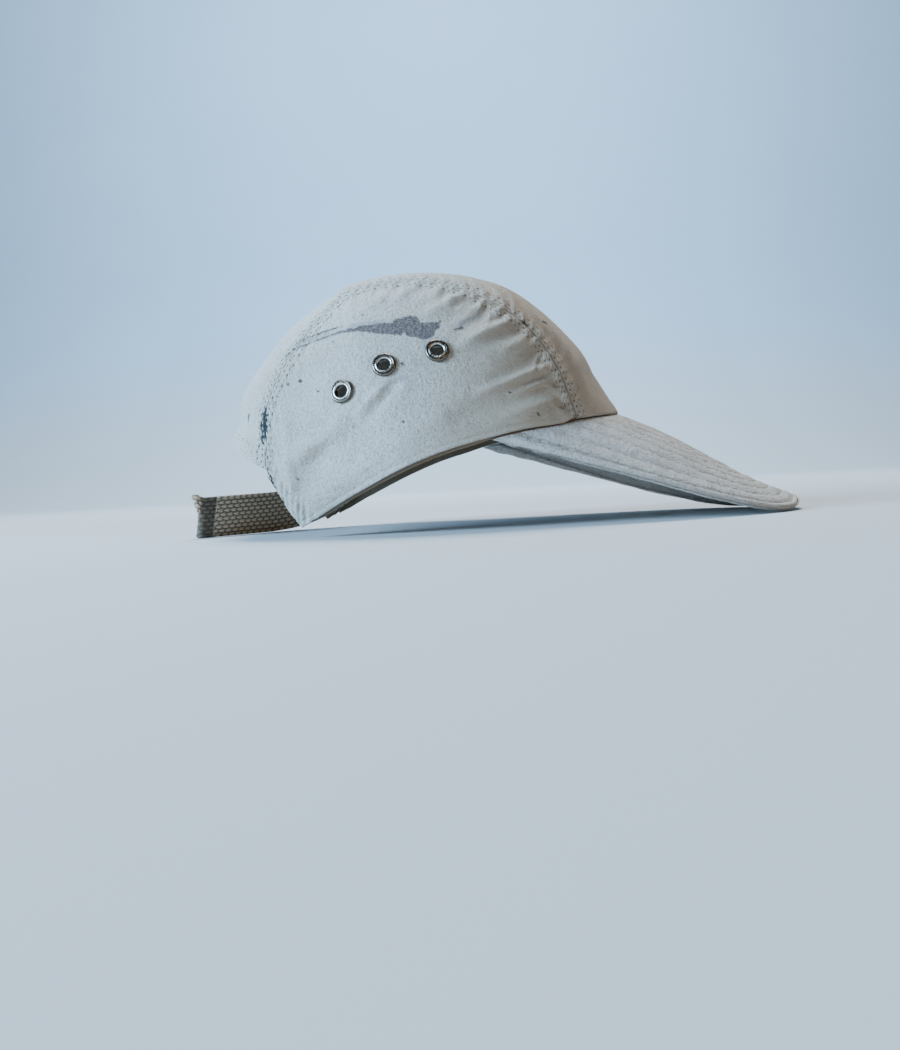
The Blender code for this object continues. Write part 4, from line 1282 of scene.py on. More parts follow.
@dataclass
class Bill:
    """The long bill: a padded board between two canvases, sewn in rows that follow its outer edge."""

    form: CrownForm
    finisher: Finisher
    canvas: bpy.types.Material
    thread: bpy.types.Material
    length: float = 0.0967
    board: float = 0.0037
    sway: float = 0.0016
    thin_end: float = 0.4
    thin_run: float = 0.022
    end_share: float = 0.31
    gap: float = 0.0004
    row_first: float = 0.0030
    row_pace: float = 0.0061
    puff: float = 0.00055
    row_softness: float = 0.0045
    stitch: StitchSize = (0.0047, 0.00034, 0.00040)
    stitch_pitch: float = 0.0048
    along: int = 128
    rim: int = 15
    across: int = 300
    outline: np.ndarray = field(
        default_factory=lambda: np.array(
            [
                # side, forward, height
                (0.000, 1.000, 0.0537),
                (0.130, 0.993, 0.0512),
                (0.261, 0.976, 0.0390),
                (0.418, 0.946, 0.0281),
                (0.523, 0.914, 0.0243),
                (0.601, 0.881, 0.0252),
                (0.719, 0.806, 0.0380),
                (0.791, 0.738, 0.0573),
                (0.843, 0.669, 0.0776),
                (0.902, 0.562, 0.1189),
                (0.941, 0.457, 0.1603),
                (0.967, 0.353, 0.1994),
                (0.983, 0.252, 0.2364),
                (0.993, 0.138, 0.2748),
                (0.996, 0.079, 0.2945),
                (0.999, 0.043, 0.3060),
                (1.000, 0.019, 0.3120),
            ]
        )
    )
    hem_line: np.ndarray = field(init=False)
    rear: float = field(init=False)
    tip: float = field(init=False)
    temple: float = field(init=False)

    def __post_init__(self) -> None:
        """Works out the crown's hem over the bill and the bill's ends."""
        angle, turn = self.form.hem_places(np.linspace(0.0, self.end_share, 400))
        side = self.form.points(angle, turn, 1.0)
        across = np.linspace(0.0, 1.0, 200)[:-1]
        edge = self.form.strip_edge(across)
        front = self.form.points(edge, self.form.turn_for_side(edge, across * self.form.strip(edge)), 1.0)
        self.hem_line = np.concatenate([front, side])
        self.rear, self.temple = self.hem_line[-1, 0], self.hem_line[-1, 1]
        self.tip = self.hem_line[0, 0] + self.length

    def hem_points(self, share: np.ndarray) -> np.ndarray:
        """The crown's hem at these signed shares of the temple's breadth."""
        wanted = np.abs(share) * self.temple
        forward = np.interp(wanted, self.hem_line[:, 1], self.hem_line[:, 0])
        height = np.interp(wanted, self.hem_line[:, 1], self.hem_line[:, 2])
        return np.stack([forward, share * self.temple, height], -1)

    def edge_points(self, share: np.ndarray) -> np.ndarray:
        """The top of the outer edge at these signed shares."""
        forward = self.rear + (self.tip - self.rear) * smooth_curve(self.outline, 1, np.abs(share))
        side = share * (self.temple - self.form.cloth * 0.5)
        return np.stack([forward, side, self.form.rise * smooth_curve(self.outline, 2, np.abs(share))], -1)

    def even_shares(self, across: np.ndarray) -> np.ndarray:
        """Signed shares that space the outer edge evenly."""
        share = np.sin(np.linspace(0.0, math.pi / 2.0, 900))
        edge = self.edge_points(share)
        run = np.concatenate([[0.0], np.cumsum(np.linalg.norm(np.diff(edge, axis=0), axis=1))])
        return np.sign(across) * np.interp(np.abs(across) * run[-1], run, share)

    def top_grid(self, along: np.ndarray, share: np.ndarray) -> np.ndarray:
        """The ideal top: straight lines from hem to edge, with a sine sway that fades towards the temples."""
        start = self.hem_points(share)
        round_ = np.gradient(start[:, :2], axis=0)
        round_ /= np.linalg.norm(round_, axis=1, keepdims=True)
        start[:, 0] -= round_[:, 1] * self.form.cloth * 0.5
        start[:, 1] += round_[:, 0] * self.form.cloth * 0.5
        start[:, 2] -= self.form.cloth * 0.57 + self.gap * 0.8
        end = self.edge_points(share)
        t = along[:, None, None]
        grid = start[None] + (end - start)[None] * t
        grid[..., 2] += self.sway * np.sin(math.tau * t)[..., 0] * (1.0 - np.abs(share)[None] ** 2)
        return grid

    def edge_field(self, points: np.ndarray) -> tuple[np.ndarray, np.ndarray]:
        """Distance from the outer edge in plan, plain and softened.

        The soft one is rounded where two sides of the edge are equally near: it is the sum of exp of
        minus distance over softness along the edge, read back as the distance from a straight edge with
        the same sum.

        Args:
            points: grid of points.

        Returns:
            Plain and soft distance at each point.
        """
        edge = self.edge_points(self.even_shares(np.linspace(-1.0, 1.0, 700)))[:, :2]
        steps = np.arange(1, 61)[:, None]
        before = edge[0] + (edge[0] - edge[1]) * steps[::-1]
        after = edge[-1] + (edge[-1] - edge[-2]) * steps
        edge = np.concatenate([before, edge, after])
        spacing = np.linalg.norm(np.gradient(edge, axis=0), axis=1)
        way = np.gradient(edge, axis=0) / spacing[:, None]
        flat = points.reshape(-1, 3)[:, :2]
        plain, total = [], []
        for part in np.array_split(flat, 60):
            apart = np.linalg.norm(part[:, None, :] - edge[None], axis=-1)
            nearest = np.argmin(apart, axis=1)
            gap = part - edge[nearest]
            plain.append(np.abs(gap[:, 0] * way[nearest, 1] - gap[:, 1] * way[nearest, 0]))
            total.append(np.exp(-apart / self.row_softness) @ spacing)
        straight, reach = np.linspace(0.0, 0.09, 500), np.linspace(-0.08, 0.08, 1601)
        known = np.exp(-np.hypot(straight[:, None], reach[None, :]) / self.row_softness).sum(axis=1) * 0.0001
        soft = np.interp(-np.log(np.concatenate(total)), -np.log(known), straight)
        return np.concatenate(plain).reshape(points.shape[:-1]), soft.reshape(points.shape[:-1])

    def quilting(self, away: np.ndarray, run: np.ndarray) -> np.ndarray:
        """Puffs between the rows: a valley at each row, pinched once a stitch, and a groove by the rim."""
        turns = (away - self.row_first) / self.row_pace
        off = np.abs(turns - np.round(turns)) * self.row_pace
        off = np.where(turns < -0.5, self.row_first - away, off)
        pinch = 1.0 + 0.45 * np.cos(math.tau * (run / self.stitch_pitch + 0.5 * np.round(turns)))
        return -self.puff * pinch * bump_at(off, 0.00125) - 0.00030 * bump_at(away - self.row_first, 0.0008)

    def build(self) -> None:
        """Builds the bill's body as one closed loft of top, rolled rim and underside, then its stitches."""
        share = self.even_shares(np.linspace(-1.0, 1.0, self.across))
        along = 1.0 - (1.0 - np.linspace(0.0, 1.0, self.along)) ** 1.15
        ideal = self.top_grid(along, share)
        normal = surface_normals(ideal, np.broadcast_to([0.0, 0.0, 1.0], ideal.shape))
        away, soft = self.edge_field(ideal)
        run = np.broadcast_to(run_along(ideal, 1)[-1:], away.shape)
        thick = self.board * (
            self.thin_end
            + (1.0 - self.thin_end) * np.clip((ideal[..., 0] - self.rear) / self.thin_run, 0.0, 1.0)
        )
        calm = np.clip(along[:, None] * 14.0, 0.0, 1.0)
        relief = self.quilting(soft, run)
        relief = relief + 0.00024 * cloth_noise(ideal, 0.007, 2.0) + 0.00013 * cloth_noise(ideal, 0.0028, 4.0)
        roll = np.minimum(thick[-1:] * 0.36, 0.0013)
        top = ideal + normal * ((relief * calm) - rim_drop(away, 0.0013) * (roll / 0.0013))[..., None]
        below = relief * calm * 0.7 + rim_drop(away, 0.0010) * np.minimum(thick[-1:] * 0.28, 0.0010) / 0.0010
        under = ideal - normal * (thick - below)[..., None]
        depth = np.linspace(0.0, 1.0, self.rim + 2)[1:-1, None]
        outward = np.gradient(ideal[-1], axis=0)
        outward = np.stack([outward[:, 1], -outward[:, 0], np.zeros(len(outward))], -1)
        outward /= np.linalg.norm(outward, axis=1, keepdims=True)
        facing = np.sum(outward * (ideal[-1] - ideal[-8]), axis=1, keepdims=True)
        outward *= np.where(facing > 0.0, 1.0, -1.0)
        upper = np.sqrt(np.clip(1.0 - ((depth - 0.31) / 0.36) ** 2, 0.0, 1.0)) * 0.00115
        lower = np.sqrt(np.clip(1.0 - ((depth - 0.83) / 0.17) ** 2, 0.0, 1.0)) * 0.00065
        bulge = np.maximum(upper, lower) * (thick[-1] / self.board)[None, :]
        bulge = bulge * (1.0 + 0.18 * cloth_noise(ideal[-1], 0.004, 6.0)[None, :])
        rim = top[-1][None] + (under[-1] - top[-1])[None] * depth[..., None]
        rim = rim + outward[None] * bulge[..., None]
        grid = np.concatenate([top, rim, under[::-1]])
        rim_away = -np.broadcast_to(depth * self.board, rim.shape[:2])
        uv = np.stack(
            [
                np.concatenate([run, np.broadcast_to(run[-1], rim.shape[:2]), run[::-1]]),
                np.concatenate([soft, rim_away, soft[::-1]]),
            ],
            -1,
        )
        piece = self.finisher.mesh("bill_cloth", grid, self.loft_faces(grid), uv)
        self.finisher.hand_over(piece, self.canvas, "canvas", "bill")
        self.build_stitching(top, under, normal, soft)

    def loft_faces(self, grid: np.ndarray) -> np.ndarray:
        """Faces of the closed loft: a tube round top, rim and underside, with a cap of quads at each temple.

        Args:
            grid: top rows, rim rows and underside rows.

        Returns:
            Four vertex numbers for each face, facing out.
        """
        rows, columns = grid.shape[:2]
        index = np.arange(rows * columns).reshape(rows, columns)
        looped = np.concatenate([index, index[:1]])
        cells = cells_of(looped).reshape(-1, 4)
        pair = np.arange(rows // 2 - 1 + rows % 2)
        caps = []
        for column, turn in ((0, 1), (columns - 1, -1)):
            line = index[:, column]
            cap = np.stack([line[pair], line[pair + 1], line[rows - 2 - pair], line[rows - 1 - pair]], -1)
            caps.append(cap[:, :: -turn])
        first = grid.reshape(-1, 3)[cells[self.along * columns // 3]]
        facing = np.cross(first[1] - first[0], first[2] - first[0])[2]
        faces = np.concatenate([cells, *caps])
        return faces if facing > 0.0 else faces[:, ::-1]

    def build_stitching(
        self, top: np.ndarray, under: np.ndarray, normal: np.ndarray, away: np.ndarray
    ) -> None:
        """Builds the stitches of both faces, evenly along the lines where the soft distance meets a row.

        Args:
            top: outer face.
            under: lower face.
            normal: normals of the outer face.
            away: soft distance from the outer edge, which falls from the hem to the edge.
        """
        centres, alongs, ups = [], [], []
        for value in np.arange(self.row_first, float(away.max()) - 0.002, self.row_pace):
            below = away < value
            columns = np.nonzero(below.any(axis=0) & ~below[3])[0]
            for j in np.split(columns, np.nonzero(np.diff(columns) > 1)[0] + 1):
                if len(j) < 8:
                    continue
                i = np.argmax(below[:, j], axis=0)
                part = ((away[i - 1, j] - value) / (away[i - 1, j] - away[i, j]))[:, None]
                for face, turn in ((top, 1.0), (under, -1.0)):
                    line = face[i - 1, j] + (face[i, j] - face[i - 1, j]) * part
                    run = run_along(line, 0)
                    wanted = (np.arange(int(run[-1] / self.stitch_pitch)) + 0.5) * self.stitch_pitch
                    centres.append(np.stack([np.interp(wanted, run, line[:, k]) for k in range(3)], -1))
                    ahead = np.stack([np.interp(wanted + 0.0015, run, line[:, k]) for k in range(3)], -1)
                    behind = np.stack([np.interp(wanted - 0.0015, run, line[:, k]) for k in range(3)], -1)
                    alongs.append(ahead - behind)
                    up = np.stack([np.interp(wanted, run, normal[i, j, k]) for k in range(3)], -1)
                    ups.append(turn * up / np.linalg.norm(up, axis=1, keepdims=True))
        piece = self.finisher.stitches(
            "bill_stitching",
            np.concatenate(centres),
            np.concatenate(alongs),
            np.concatenate(ups),
            self.stitch,
        )
        self.finisher.hand_over(piece, self.thread, "canvas")


@dataclass
class SweatBand:
    """The band inside the hem, with a sewn line near its upper edge."""

    form: CrownForm
    finisher: Finisher
    twill: bpy.types.Material
    thread: bpy.types.Material
    height: float = 0.026
    cloth: float = 0.0011
    shows: float = 0.0016
    tuck: float = -0.0010
    taper: float = 0.45
    gap: float = 0.0006
    end: float = 0.955
    bill_end: float = 0.31
    steps: int = 26
    sewn_line: float = 0.0215
    stitch_pitch: float = 0.0034
    stitch: StitchSize = (0.0026, 0.0003, 0.0003)

    def build(self) -> None:
        """Builds the band: the hem's line lifted by shares of its height, set in from the crown's inside."""
        front = np.linspace(0.0, 1.0, 60)[1:-1]
        edge = self.form.strip_edge(front)
        front_turn = self.form.turn_for_side(edge, front * self.form.strip(edge))
        back = np.linspace(0.0, self.end, 150)
        hem_angle, hem_turn = self.form.hem_places(back)
        angle = np.concatenate([[self.form.strip_front], edge, hem_angle])
        turn = np.concatenate([[0.0], front_turn, hem_turn])
        place = np.concatenate([np.zeros(len(front) + 1), back])
        hem = self.form.points(angle, turn, 1.0)
        hang = np.clip((place - self.bill_end - 0.01) / 0.06, 0.0, 1.0)
        hang = hang * np.clip((self.end - place) / 0.05, 0.0, 1.0)
        lowest = self.tuck - (self.shows + self.tuck) * hang
        height = self.height * (1.0 - self.taper * np.clip((place - 0.7) / (self.end - 0.7), 0.0, 1.0))
        share = gather_ends(self.steps)[None, :]
        lifted = np.repeat(hem[:, None, :], self.steps, axis=1)
        lifted[..., 2] += lowest[:, None] + (height - lowest)[:, None] * share
        half = self.form.onto(lifted)
        other = half[:0:-1].copy()
        other[..., 1] *= -1.0
        grid = np.concatenate([other, half])
        normal = self.form.normals(grid)
        run, away = run_along(grid, 0), run_along(grid, 1)
        wave = 0.00012 * np.sin(math.tau * run[:, :1] / 0.0085 + 2.0 * cloth_noise(grid, 0.02, 4.0))
        wave = wave + 0.00020 * cloth_noise(grid, 0.015, 7.0) - 0.00020 * bump_at(away - 0.0032, 0.0006)
        edge_away = np.minimum(away, away[:, -1:] - away)
        drop = rim_drop(edge_away, self.cloth / 2.0)
        outer = grid - normal * (self.form.cloth + self.gap + np.maximum(wave, 0.0) + drop)[..., None]
        inner = grid - normal * (self.form.cloth + self.gap + self.cloth + wave - drop)[..., None]
        uv = np.stack([np.broadcast_to(run[:, :1], away.shape), away], -1)
        piece = self.finisher.slab("sweatband_twill", outer, inner, uv)
        self.finisher.hand_over(piece, self.twill, "twill", "sweatband")
        column = int(np.argmin(np.abs(away[len(away) // 2] - self.sewn_line)))
        line = inner[:, column]
        wanted = np.arange(0.004, run[-1, 0] - 0.004, self.stitch_pitch)
        spots = np.interp(wanted, run[:, 0], np.arange(len(line)))
        low = np.floor(spots).astype(int)
        way = line[low + 1] - line[low]
        centre = line[low] + way * (spots - low)[:, None]
        up = -normal[low, column]
        stitching = self.finisher.stitches("band_stitching", centre, way, up, self.stitch)
        self.finisher.hand_over(stitching, self.thread, "twill")


@dataclass
class EyeletSet:
    """Rolled eyelets: a domed rim, a funnel into the barrel, and a washer behind the cloth."""

    finisher: Finisher
    nickel: bpy.types.Material
    places: dict[Side, list[tuple[np.ndarray, np.ndarray]]]
    turns: int = 56
    tarnish: tuple[float, ...] = (
        1.0, 1.0, 1.0, 0.95, 0.50, 0.0, 0.0, 0.0, 0.7, 0.95, 0.95, 0.95, 0.9, 0.85, 0.9,
        1.0, 1.0, 1.0, 1.0, 1.0, 1.0, 1.0, 1.0, 0.6, 0.5, 0.5, 0.5, 0.5, 0.6, 0.9,
    )
    profile: np.ndarray = field(
        default_factory=lambda: np.array(
            [
                # radius, height, in mm
                (3.10, -2.30),
                (3.10, -1.40),
                (3.08, -0.40),
                (3.10, 0.20),
                (3.20, 0.62),
                (3.42, 0.92),
                (3.72, 1.08),
                (4.02, 1.06),
                (4.22, 0.94),
                (4.34, 0.86),
                (4.50, 0.94),
                (4.78, 1.12),
                (5.10, 1.16),
                (5.42, 1.06),
                (5.70, 0.82),
                (5.90, 0.50),
                (6.00, 0.16),
                (5.98, -0.06),
                (5.80, -0.16),
                (4.60, -0.14),
                (3.72, -0.20),
                (3.70, -1.00),
                (3.72, -1.78),
                (5.10, -1.80),
                (5.26, -1.92),
                (5.30, -2.10),
                (5.16, -2.30),
                (4.60, -2.42),
                (3.80, -2.46),
                (3.30, -2.42),
            ]
        )
        * 1e-3
    )

    def build(self) -> None:
        """Builds each eyelet as its profile turned about the cloth's normal."""
        turn = np.linspace(0.0, math.tau, self.turns, endpoint=False)[:, None]
        radius, height = self.profile[:, 0][None, :], self.profile[:, 1][None, :]
        count = radius.size
        level = np.broadcast_to(height, (self.turns, count))
        local = np.stack([radius * np.cos(turn), radius * np.sin(turn), level], -1)
        index = np.arange(self.turns * count).reshape(self.turns, count)
        nxt, side = np.roll(index, -1, axis=0), np.roll(index, -1, axis=1)
        both = np.roll(nxt, -1, axis=1)
        faces = np.stack([index, side, both, nxt], -1).reshape(-1, 4)
        dull = np.broadcast_to(np.array(self.tarnish)[None, :], (self.turns, count))
        uv = np.stack([dull, np.zeros_like(dull)], -1)
        for where, spots in self.places.items():
            for number, (centre, out) in enumerate(spots, 1):
                tilt = Vector((0.0, 0.0, 1.0)).rotation_difference(Vector(out)).to_matrix()
                points = local.reshape(-1, 3) @ np.array(tilt).T + centre + out * 0.00045
                name = f"eyelet_{where.name.lower()}_{number}"
                piece = self.finisher.mesh(f"{name}_rolled", points, faces[:, ::-1], uv)
                self.finisher.hand_over(piece, self.nickel, "nickel", name)


@dataclass
class Strap:
    """The webbing strap on edge, with twisted warp bundles, a roped selvage and a folded, sewn free end."""

    form: CrownForm
    finisher: Finisher
    webbing: bpy.types.Material
    thread: bpy.types.Material
    width: float = 0.0234
    thick: float = 0.0017
    reach: float = 0.0650
    fold: float = 0.0095
    band_gap: float = 0.0006
    band_cloth: float = 0.0011
    along: int = 430
    across: int = 78
    rib: float = 0.0046
    bundle: float = 0.00234
    fold_radius: float = 0.0016
    fold_lift: float = 0.0018
    path: np.ndarray = field(
        default_factory=lambda: np.array(
            [
                # back, side, height, lean, hug
                (-0.200, 1.100, 0.104, 0.0, 1.0),
                (-0.060, 1.010, 0.066, 0.0, 1.0),
                (0.080, 0.930, 0.036, 0.0, 1.0),
                (0.220, 0.850, 0.016, -6.0, 0.0),
                (0.360, 0.755, 0.005, -2.0, 0.0),
                (0.500, 0.610, 0.000, 3.0, 0.0),
                (0.620, 0.450, 0.000, 7.0, 0.0),
                (0.740, 0.280, 0.000, 10.0, 0.0),
                (0.870, 0.120, 0.000, 13.0, 0.0),
                (1.000, -0.040, 0.000, 15.0, 0.0),
            ]
        )
    )

    def edges(self, back: np.ndarray) -> tuple[np.ndarray, np.ndarray]:
        """The strap's lower and upper edges.

        Args:
            back: shares of the reach behind the crown's corner.

        Returns:
            The two edge lines.
        """
        angle, turn = self.form.hem_places(np.array([1.0]))
        corner = self.form.points(angle, turn, 1.0)[0]
        forward = corner[0] - back * self.reach
        side = corner[1] * smooth_curve(self.path, 1, back)
        height = self.form.rise * smooth_curve(self.path, 2, back)
        lean = np.radians(smooth_curve(self.path, 3, back))
        hug = smooth_curve(self.path, 4, back)
        inset = self.form.cloth + self.band_gap * 2.0 + self.band_cloth + self.thick / 2.0
        top_height = height + self.width * np.cos(lean)
        top_side = side - self.width * np.sin(lean)
        low_hug = self.form.inside_at(forward, height) - inset
        top_hug = self.form.inside_at(forward, top_height) - inset
        low = np.stack([forward, side + (low_hug - side) * hug, height], -1)
        return low, np.stack([forward, top_side + (top_hug - top_side) * hug, top_height], -1)

    def folded_line(
        self, line: np.ndarray, outer: np.ndarray, wanted: np.ndarray, radius: float
    ) -> np.ndarray:
        """A line run past its end round a half circle and back along its outer side.

        Args:
            line: points of the line.
            outer: outward directions along it.
            wanted: lengths run.
            radius: the fold's radius.

        Returns:
            The points at those lengths.
        """
        run = run_along(line, 0)
        last = run[-1] - radius - self.thick / 2.0
        back_run = last - (wanted - last - math.pi * radius)
        flat = np.where(wanted < last, wanted, np.where(wanted < last + math.pi * radius, last, back_run))
        base = np.stack([np.interp(flat, run, line[:, k]) for k in range(3)], -1)
        side = np.stack([np.interp(flat, run, outer[:, k]) for k in range(3)], -1)
        turn = np.clip((wanted - last) / radius, 0.0, math.pi)[:, None]
        ahead = (line[-1] - line[-6]) / np.linalg.norm(line[-1] - line[-6])
        return base + side * radius * (1.0 - np.cos(turn)) + ahead * radius * np.sin(turn)

    def build(self) -> None:
        """Builds the webbing and the seam across its fold."""
        low, top = self.edges(np.linspace(-0.2, 1.0, 260))
        tangent = np.gradient(low[:, :2], axis=0)
        tangent /= np.linalg.norm(tangent, axis=1, keepdims=True)
        outer = np.stack([tangent[:, 1], -tangent[:, 0], np.zeros(len(tangent))], -1)
        radius = self.fold_radius
        length = run_along(low, 0)[-1] + math.pi * radius + self.fold - radius - self.thick / 2.0
        wanted = np.linspace(0.0, length, self.along)
        low, top = (self.folded_line(line, outer, wanted, radius) for line in (low, top))
        crease = length - self.fold + radius + self.thick / 2.0 - math.pi * radius
        past = run_along(low, 0) - crease
        rise = self.fold_lift * np.clip(past / (math.pi * radius), 0.0, 1.0)
        low[:, 2] += rise
        top[:, 2] += rise
        across = gather_ends(self.across, 0.55)[None, :, None]
        middle = low[:, None, :] + (top - low)[:, None, :] * across
        middle = middle + np.array([0.0, 0.0, 1.0]) * 0.0002 * (1.0 - across)
        normal = surface_normals(middle, np.broadcast_to([0.0, -1.0, 0.0], middle.shape))
        run = np.broadcast_to((wanted - crease)[:, None], middle.shape[:2])
        up = np.broadcast_to(across[..., 0] * self.width, middle.shape[:2])
        rows = up / self.bundle
        phase = run / self.rib + 0.5 * np.mod(np.floor(rows), 2.0) + 0.6 * np.abs(np.mod(rows, 1.0) - 0.5)
        columns = np.abs(np.sin(math.pi * rows))
        weave = (columns * np.abs(np.sin(math.pi * phase))) ** 0.6
        other = (columns * np.abs(np.cos(math.pi * phase))) ** 0.6
        edge = np.minimum(up, self.width - up)
        selvage = np.clip(edge / 0.0011, 0.0, 1.0)
        rope = 0.00022 * np.abs(np.sin(math.pi * run / (self.rib * 0.5))) * (1.0 - selvage)
        drop = rim_drop(edge, self.thick * 0.42)
        half = self.thick / 2.0 - 0.00025
        front = middle + normal * (half + 0.00052 * weave * selvage + rope - drop)[..., None]
        rear = middle - normal * (half + 0.00052 * other * selvage + rope - drop)[..., None]
        piece = self.finisher.slab("strap_webbing", front, rear, np.stack([run, up], -1))
        self.finisher.hand_over(piece, self.webbing, "webbing", "strap")
        seam_at = run_along(low, 0)[-1] - 2.0 * self.fold - math.pi * radius + 0.0022
        row = int(np.searchsorted(wanted, seam_at))
        spots = np.linspace(3, self.across - 4, 9).astype(int)
        seam = self.finisher.stitches(
            "strap_seam",
            front[row, spots],
            front[row, spots + 1] - front[row, spots],
            normal[row, spots],
            (0.0024, 0.00032, 0.00042),
        )
        self.finisher.hand_over(seam, self.thread, "webbing")


@dataclass
class SlideTab:
    """The tape that holds the slide, folded round its front bar inside the right back corner."""

    form: CrownForm
    finisher: Finisher
    webbing: bpy.types.Material
    bar: float = 0.0022
    height: float = 0.0270
    slope: float = 34.0
    inset: float = 0.0078
    spot: tuple[float, float] = (-0.420, 0.180)
    length: float = 0.0130
    cloth: float = 0.0011
    gap: float = 0.0004

    def axes(self) -> tuple[np.ndarray, np.ndarray]:
        """The slide's place and its axes: back along the hem, out of the cap, and across the strap.

        Returns:
            The place, and the axes as rows.
        """
        forward, height, step = self.spot[0] * self.form.rise, self.spot[1] * self.form.rise, 0.004
        spot = np.array([forward, -float(self.form.inside_at(forward, height)), height])
        ahead = np.array([forward + step, -float(self.form.inside_at(forward + step, height)), height])
        above = np.array([forward, -float(self.form.inside_at(forward, height + step)), height + step])
        out = np.cross(ahead - spot, above - spot)
        out /= np.linalg.norm(out)
        out *= -1.0 if out[1] > 0.0 else 1.0
        slope = math.radians(self.slope)
        run = np.array([-math.cos(slope), 0.0, -math.sin(slope)])
        run -= out * (run @ out)
        run /= np.linalg.norm(run)
        return spot - out * self.inset, np.stack([run, out, np.cross(run, out)])

    def build(self) -> None:
        """Builds the tape: a straight run, a half circle round the bar, and a straight run back."""
        place, axes = self.axes()
        clear = self.bar / 2.0 * 1.42 + self.gap
        bend = np.radians(np.linspace(-90.0, 90.0, 30))
        lead = np.linspace(-self.length, 0.0, 40)[:-1]
        line = np.concatenate(
            [
                np.stack([lead, np.full(len(lead), -clear)], -1),
                np.stack([clear * np.cos(bend), clear * np.sin(bend)], -1),
                np.stack([lead[::-1], np.full(len(lead), clear)], -1),
            ]
        )
        half = self.height / 2.0 - self.bar - self.gap * 2.0
        across = gather_ends(48, 0.6)[None, :] * 2.0 - 1.0
        way = np.gradient(line, axis=0)
        way /= np.linalg.norm(way, axis=1, keepdims=True)
        out = np.stack([way[:, 1], -way[:, 0]], -1)
        run = run_along(line, 0)[:, None]
        ribs = 0.00010 * np.abs(np.sin(math.pi * run / 0.0014))
        ribs = ribs * np.abs(np.sin(math.pi * across * half / 0.0012))
        drop = rim_drop(half * (1.0 - np.abs(across)), self.cloth / 2.0)
        sheets = []
        for depth in (self.cloth + ribs - drop - 0.0001, np.broadcast_to(drop, ribs.shape)):
            flat = line[:, None, :] + out[:, None, :] * depth[..., None]
            local = np.concatenate([flat, np.broadcast_to(across * half, depth.shape)[..., None]], -1)
            sheets.append(place + local @ axes)
        uv = np.stack([np.broadcast_to(run, ribs.shape), np.broadcast_to(across * half, ribs.shape)], -1)
        piece = self.finisher.slab("slide_tab_tape", sheets[0], sheets[1], uv)
        self.finisher.hand_over(piece, self.webbing, "webbing", "slide_tab")


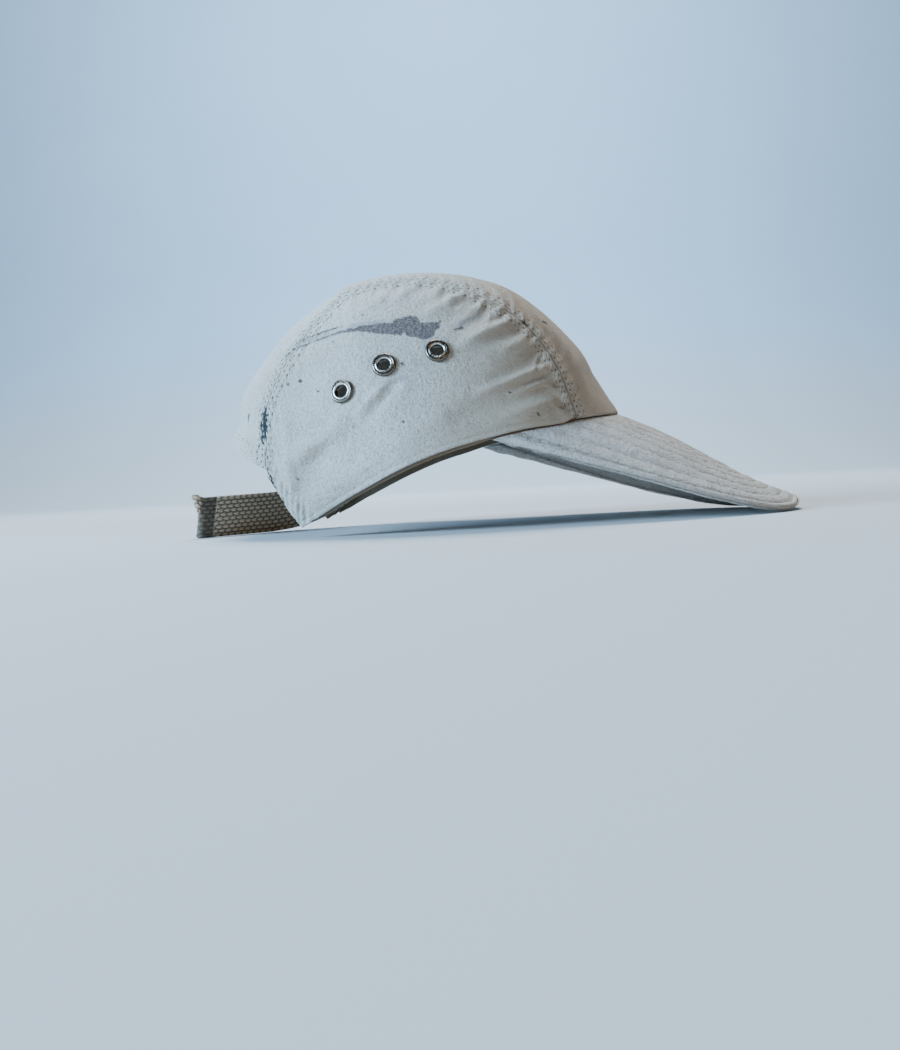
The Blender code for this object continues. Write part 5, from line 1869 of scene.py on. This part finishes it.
@dataclass
class Studio:
    """A pale floor that curves up into a backdrop, soft light from the left and the camera."""

    eye: tuple[float, float, float] = (-0.02365, -0.60178, 0.02705)
    right: tuple[float, float, float] = (0.99863, 0.0, -0.05234)
    up: tuple[float, float, float] = (0.05228, 0.04449, 0.99764)
    ahead: tuple[float, float, float] = (-0.00233, 0.99901, -0.04443)
    focal_pixels: float = 1086.0
    picture_height: float = 1050.0
    floor_end: float = 1.6
    curve: float = 1.2
    floor_tint: Tint = (0.56, 0.575, 0.58, 1.0)
    wall_tints: tuple[Tint, Tint] = ((0.45, 0.595, 0.725, 1.0), (0.47, 0.610, 0.740, 1.0))
    world_tint: Tint = (0.90, 0.76, 0.60, 1.0)

    def backdrop(self) -> None:
        """Builds the floor, a quarter circle behind it and a wall, from one profile swept across."""
        bend = np.linspace(0.1, math.pi / 2.0, 16)
        depth = self.floor_end + self.curve * np.sin(bend)
        depth = np.concatenate([[-2.5, -1.0, -0.3, 0.3, 1.0, self.floor_end], depth, [2.8]])
        height = np.concatenate([np.zeros(6), self.curve - self.curve * np.cos(bend), [3.2]])
        across = np.linspace(-4.0, 4.0, 9)
        side, back = np.meshgrid(across, depth)
        grid = np.stack([side, back, np.broadcast_to(height[:, None], side.shape)], -1)
        index = np.arange(side.size).reshape(side.shape)
        floor = Finisher().mesh("floor", grid, cells_of(index.T).reshape(-1, 4))
        material, bench, shader, point = new_material("pale_paper")
        tone = bench.ramp(bench.noise(point, 3.0, 2.0), 0.3, 0.7)
        wall = bench.mix(tone, *self.wall_tints)
        rise = bench.ramp(bench.parts(point)[2], 0.0, 0.5)
        bench.feed(shader.inputs["Base Color"], bench.mix(rise, self.floor_tint, wall))
        shader.inputs["Roughness"].default_value = 0.95
        floor.data.materials.append(material)

    def light(
        self, name: str, place: tuple, energy: float, size: float, tint: tuple, aim: tuple = (0.0, 0.0, 0.06)
    ) -> None:
        """Adds a square soft light that points at the cap, or at another place."""
        data = bpy.data.lights.new(name, "AREA")
        data.energy, data.size, data.color = energy, size, tint
        lamp = bpy.data.objects.new(name, data)
        lamp.location = place
        lamp.rotation_euler = (Vector(aim) - Vector(place)).to_track_quat("-Z", "Y").to_euler()
        bpy.context.scene.collection.objects.link(lamp)

    def build(self) -> None:
        """Sets up the backdrop, the lights, the world and the camera."""
        self.backdrop()
        self.light("window", (-1.48, -0.70, 0.64), 86.0, 0.7, (0.42, 0.69, 1.0))
        self.light("sky", (-0.05, 0.62, 1.55), 43.0, 0.8, (0.84, 0.92, 1.0))
        self.light("wall_wash", (0.0, 1.1, 1.7), 79.0, 1.4, (0.58, 0.79, 1.0), (0.1, 2.8, 0.9))
        self.light("warm_fill", (1.2, -1.0, 0.40), 2.4, 0.6, (1.0, 0.66, 0.36))
        world = bpy.data.worlds.new("studio")
        world.use_nodes = True
        background = world.node_tree.nodes["Background"].inputs
        background["Color"].default_value = self.world_tint
        background["Strength"].default_value = 0.05
        bpy.context.scene.world = world
        camera = bpy.data.objects.new("camera", bpy.data.cameras.new("camera"))
        camera.data.lens = camera.data.sensor_width * self.focal_pixels / self.picture_height
        camera.data.clip_start = 0.01
        turn = Matrix((self.right, self.up, [-v for v in self.ahead])).transposed().to_4x4()
        camera.matrix_world = Matrix.Translation(self.eye) @ turn
        bpy.context.scene.collection.objects.link(camera)
        bpy.context.scene.camera = camera


def main() -> None:
    logging.basicConfig(level=logging.INFO, format="%(name)s %(message)s")
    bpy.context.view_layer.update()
    form, finisher, effects = CrownForm(), Finisher(), Effects()
    crown_canvas = CanvasFinish("crown_canvas", effects, painted=True).build()
    # The bill's canvas is the crown's cloth made lighter: painted light on the bill.
    bill_canvas = CanvasFinish(
        "bill_canvas",
        effects,
        pale=(0.860, 0.830, 0.780, 1.0),
        tan=(0.760, 0.715, 0.650, 1.0),
        rows=(-0.0026,),
        needle_pitch=0.0050,
        quilted=True,
    ).build()
    # The webbing is off-white cotton: its brown is painted warm shade, and the second colour is painted shade
    # between its ribs.
    natural, shade = (0.68, 0.550, 0.400, 1.0), (0.22, 0.155, 0.100, 1.0)
    webbing = TapeFinish("cotton_webbing", effects, natural, shade, rib=0.0046, bundle=0.00234).build()
    # The hemmed webbing has painted shade over its folded end.
    hemmed = TapeFinish(
        "hemmed_webbing", effects, natural, shade, rib=0.0046, bundle=0.00234, hem=(-0.0090, 0.0024)
    ).build()
    # The twill's second colour is painted shade between its threads, also used for its tone and lint.
    tan, hollow = (0.34, 0.265, 0.185, 1.0), (0.20, 0.150, 0.100, 1.0)
    twill = TapeFinish("band_twill", effects, tan, hollow, 0.0007).build()
    thread = ThreadFinish("cotton_thread", effects).build()
    bill_thread = ThreadFinish("bill_thread", effects, half_length=0.00235).build()
    nickel = NickelFinish("aged_nickel").build()
    crown = Crown(form, finisher, crown_canvas, thread)
    crown.build()
    Bill(form, finisher, bill_canvas, bill_thread).build()
    SweatBand(form, finisher, twill, thread).build()
    EyeletSet(finisher, nickel, crown.eyelet_places).build()
    Strap(form, finisher, hemmed, thread).build()
    SlideTab(form, finisher, webbing).build()
    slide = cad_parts["slide_buckle"]
    for place in slide.material_slots:
        place.material = nickel
    Studio().build()


if __name__ == "__main__":
    main()
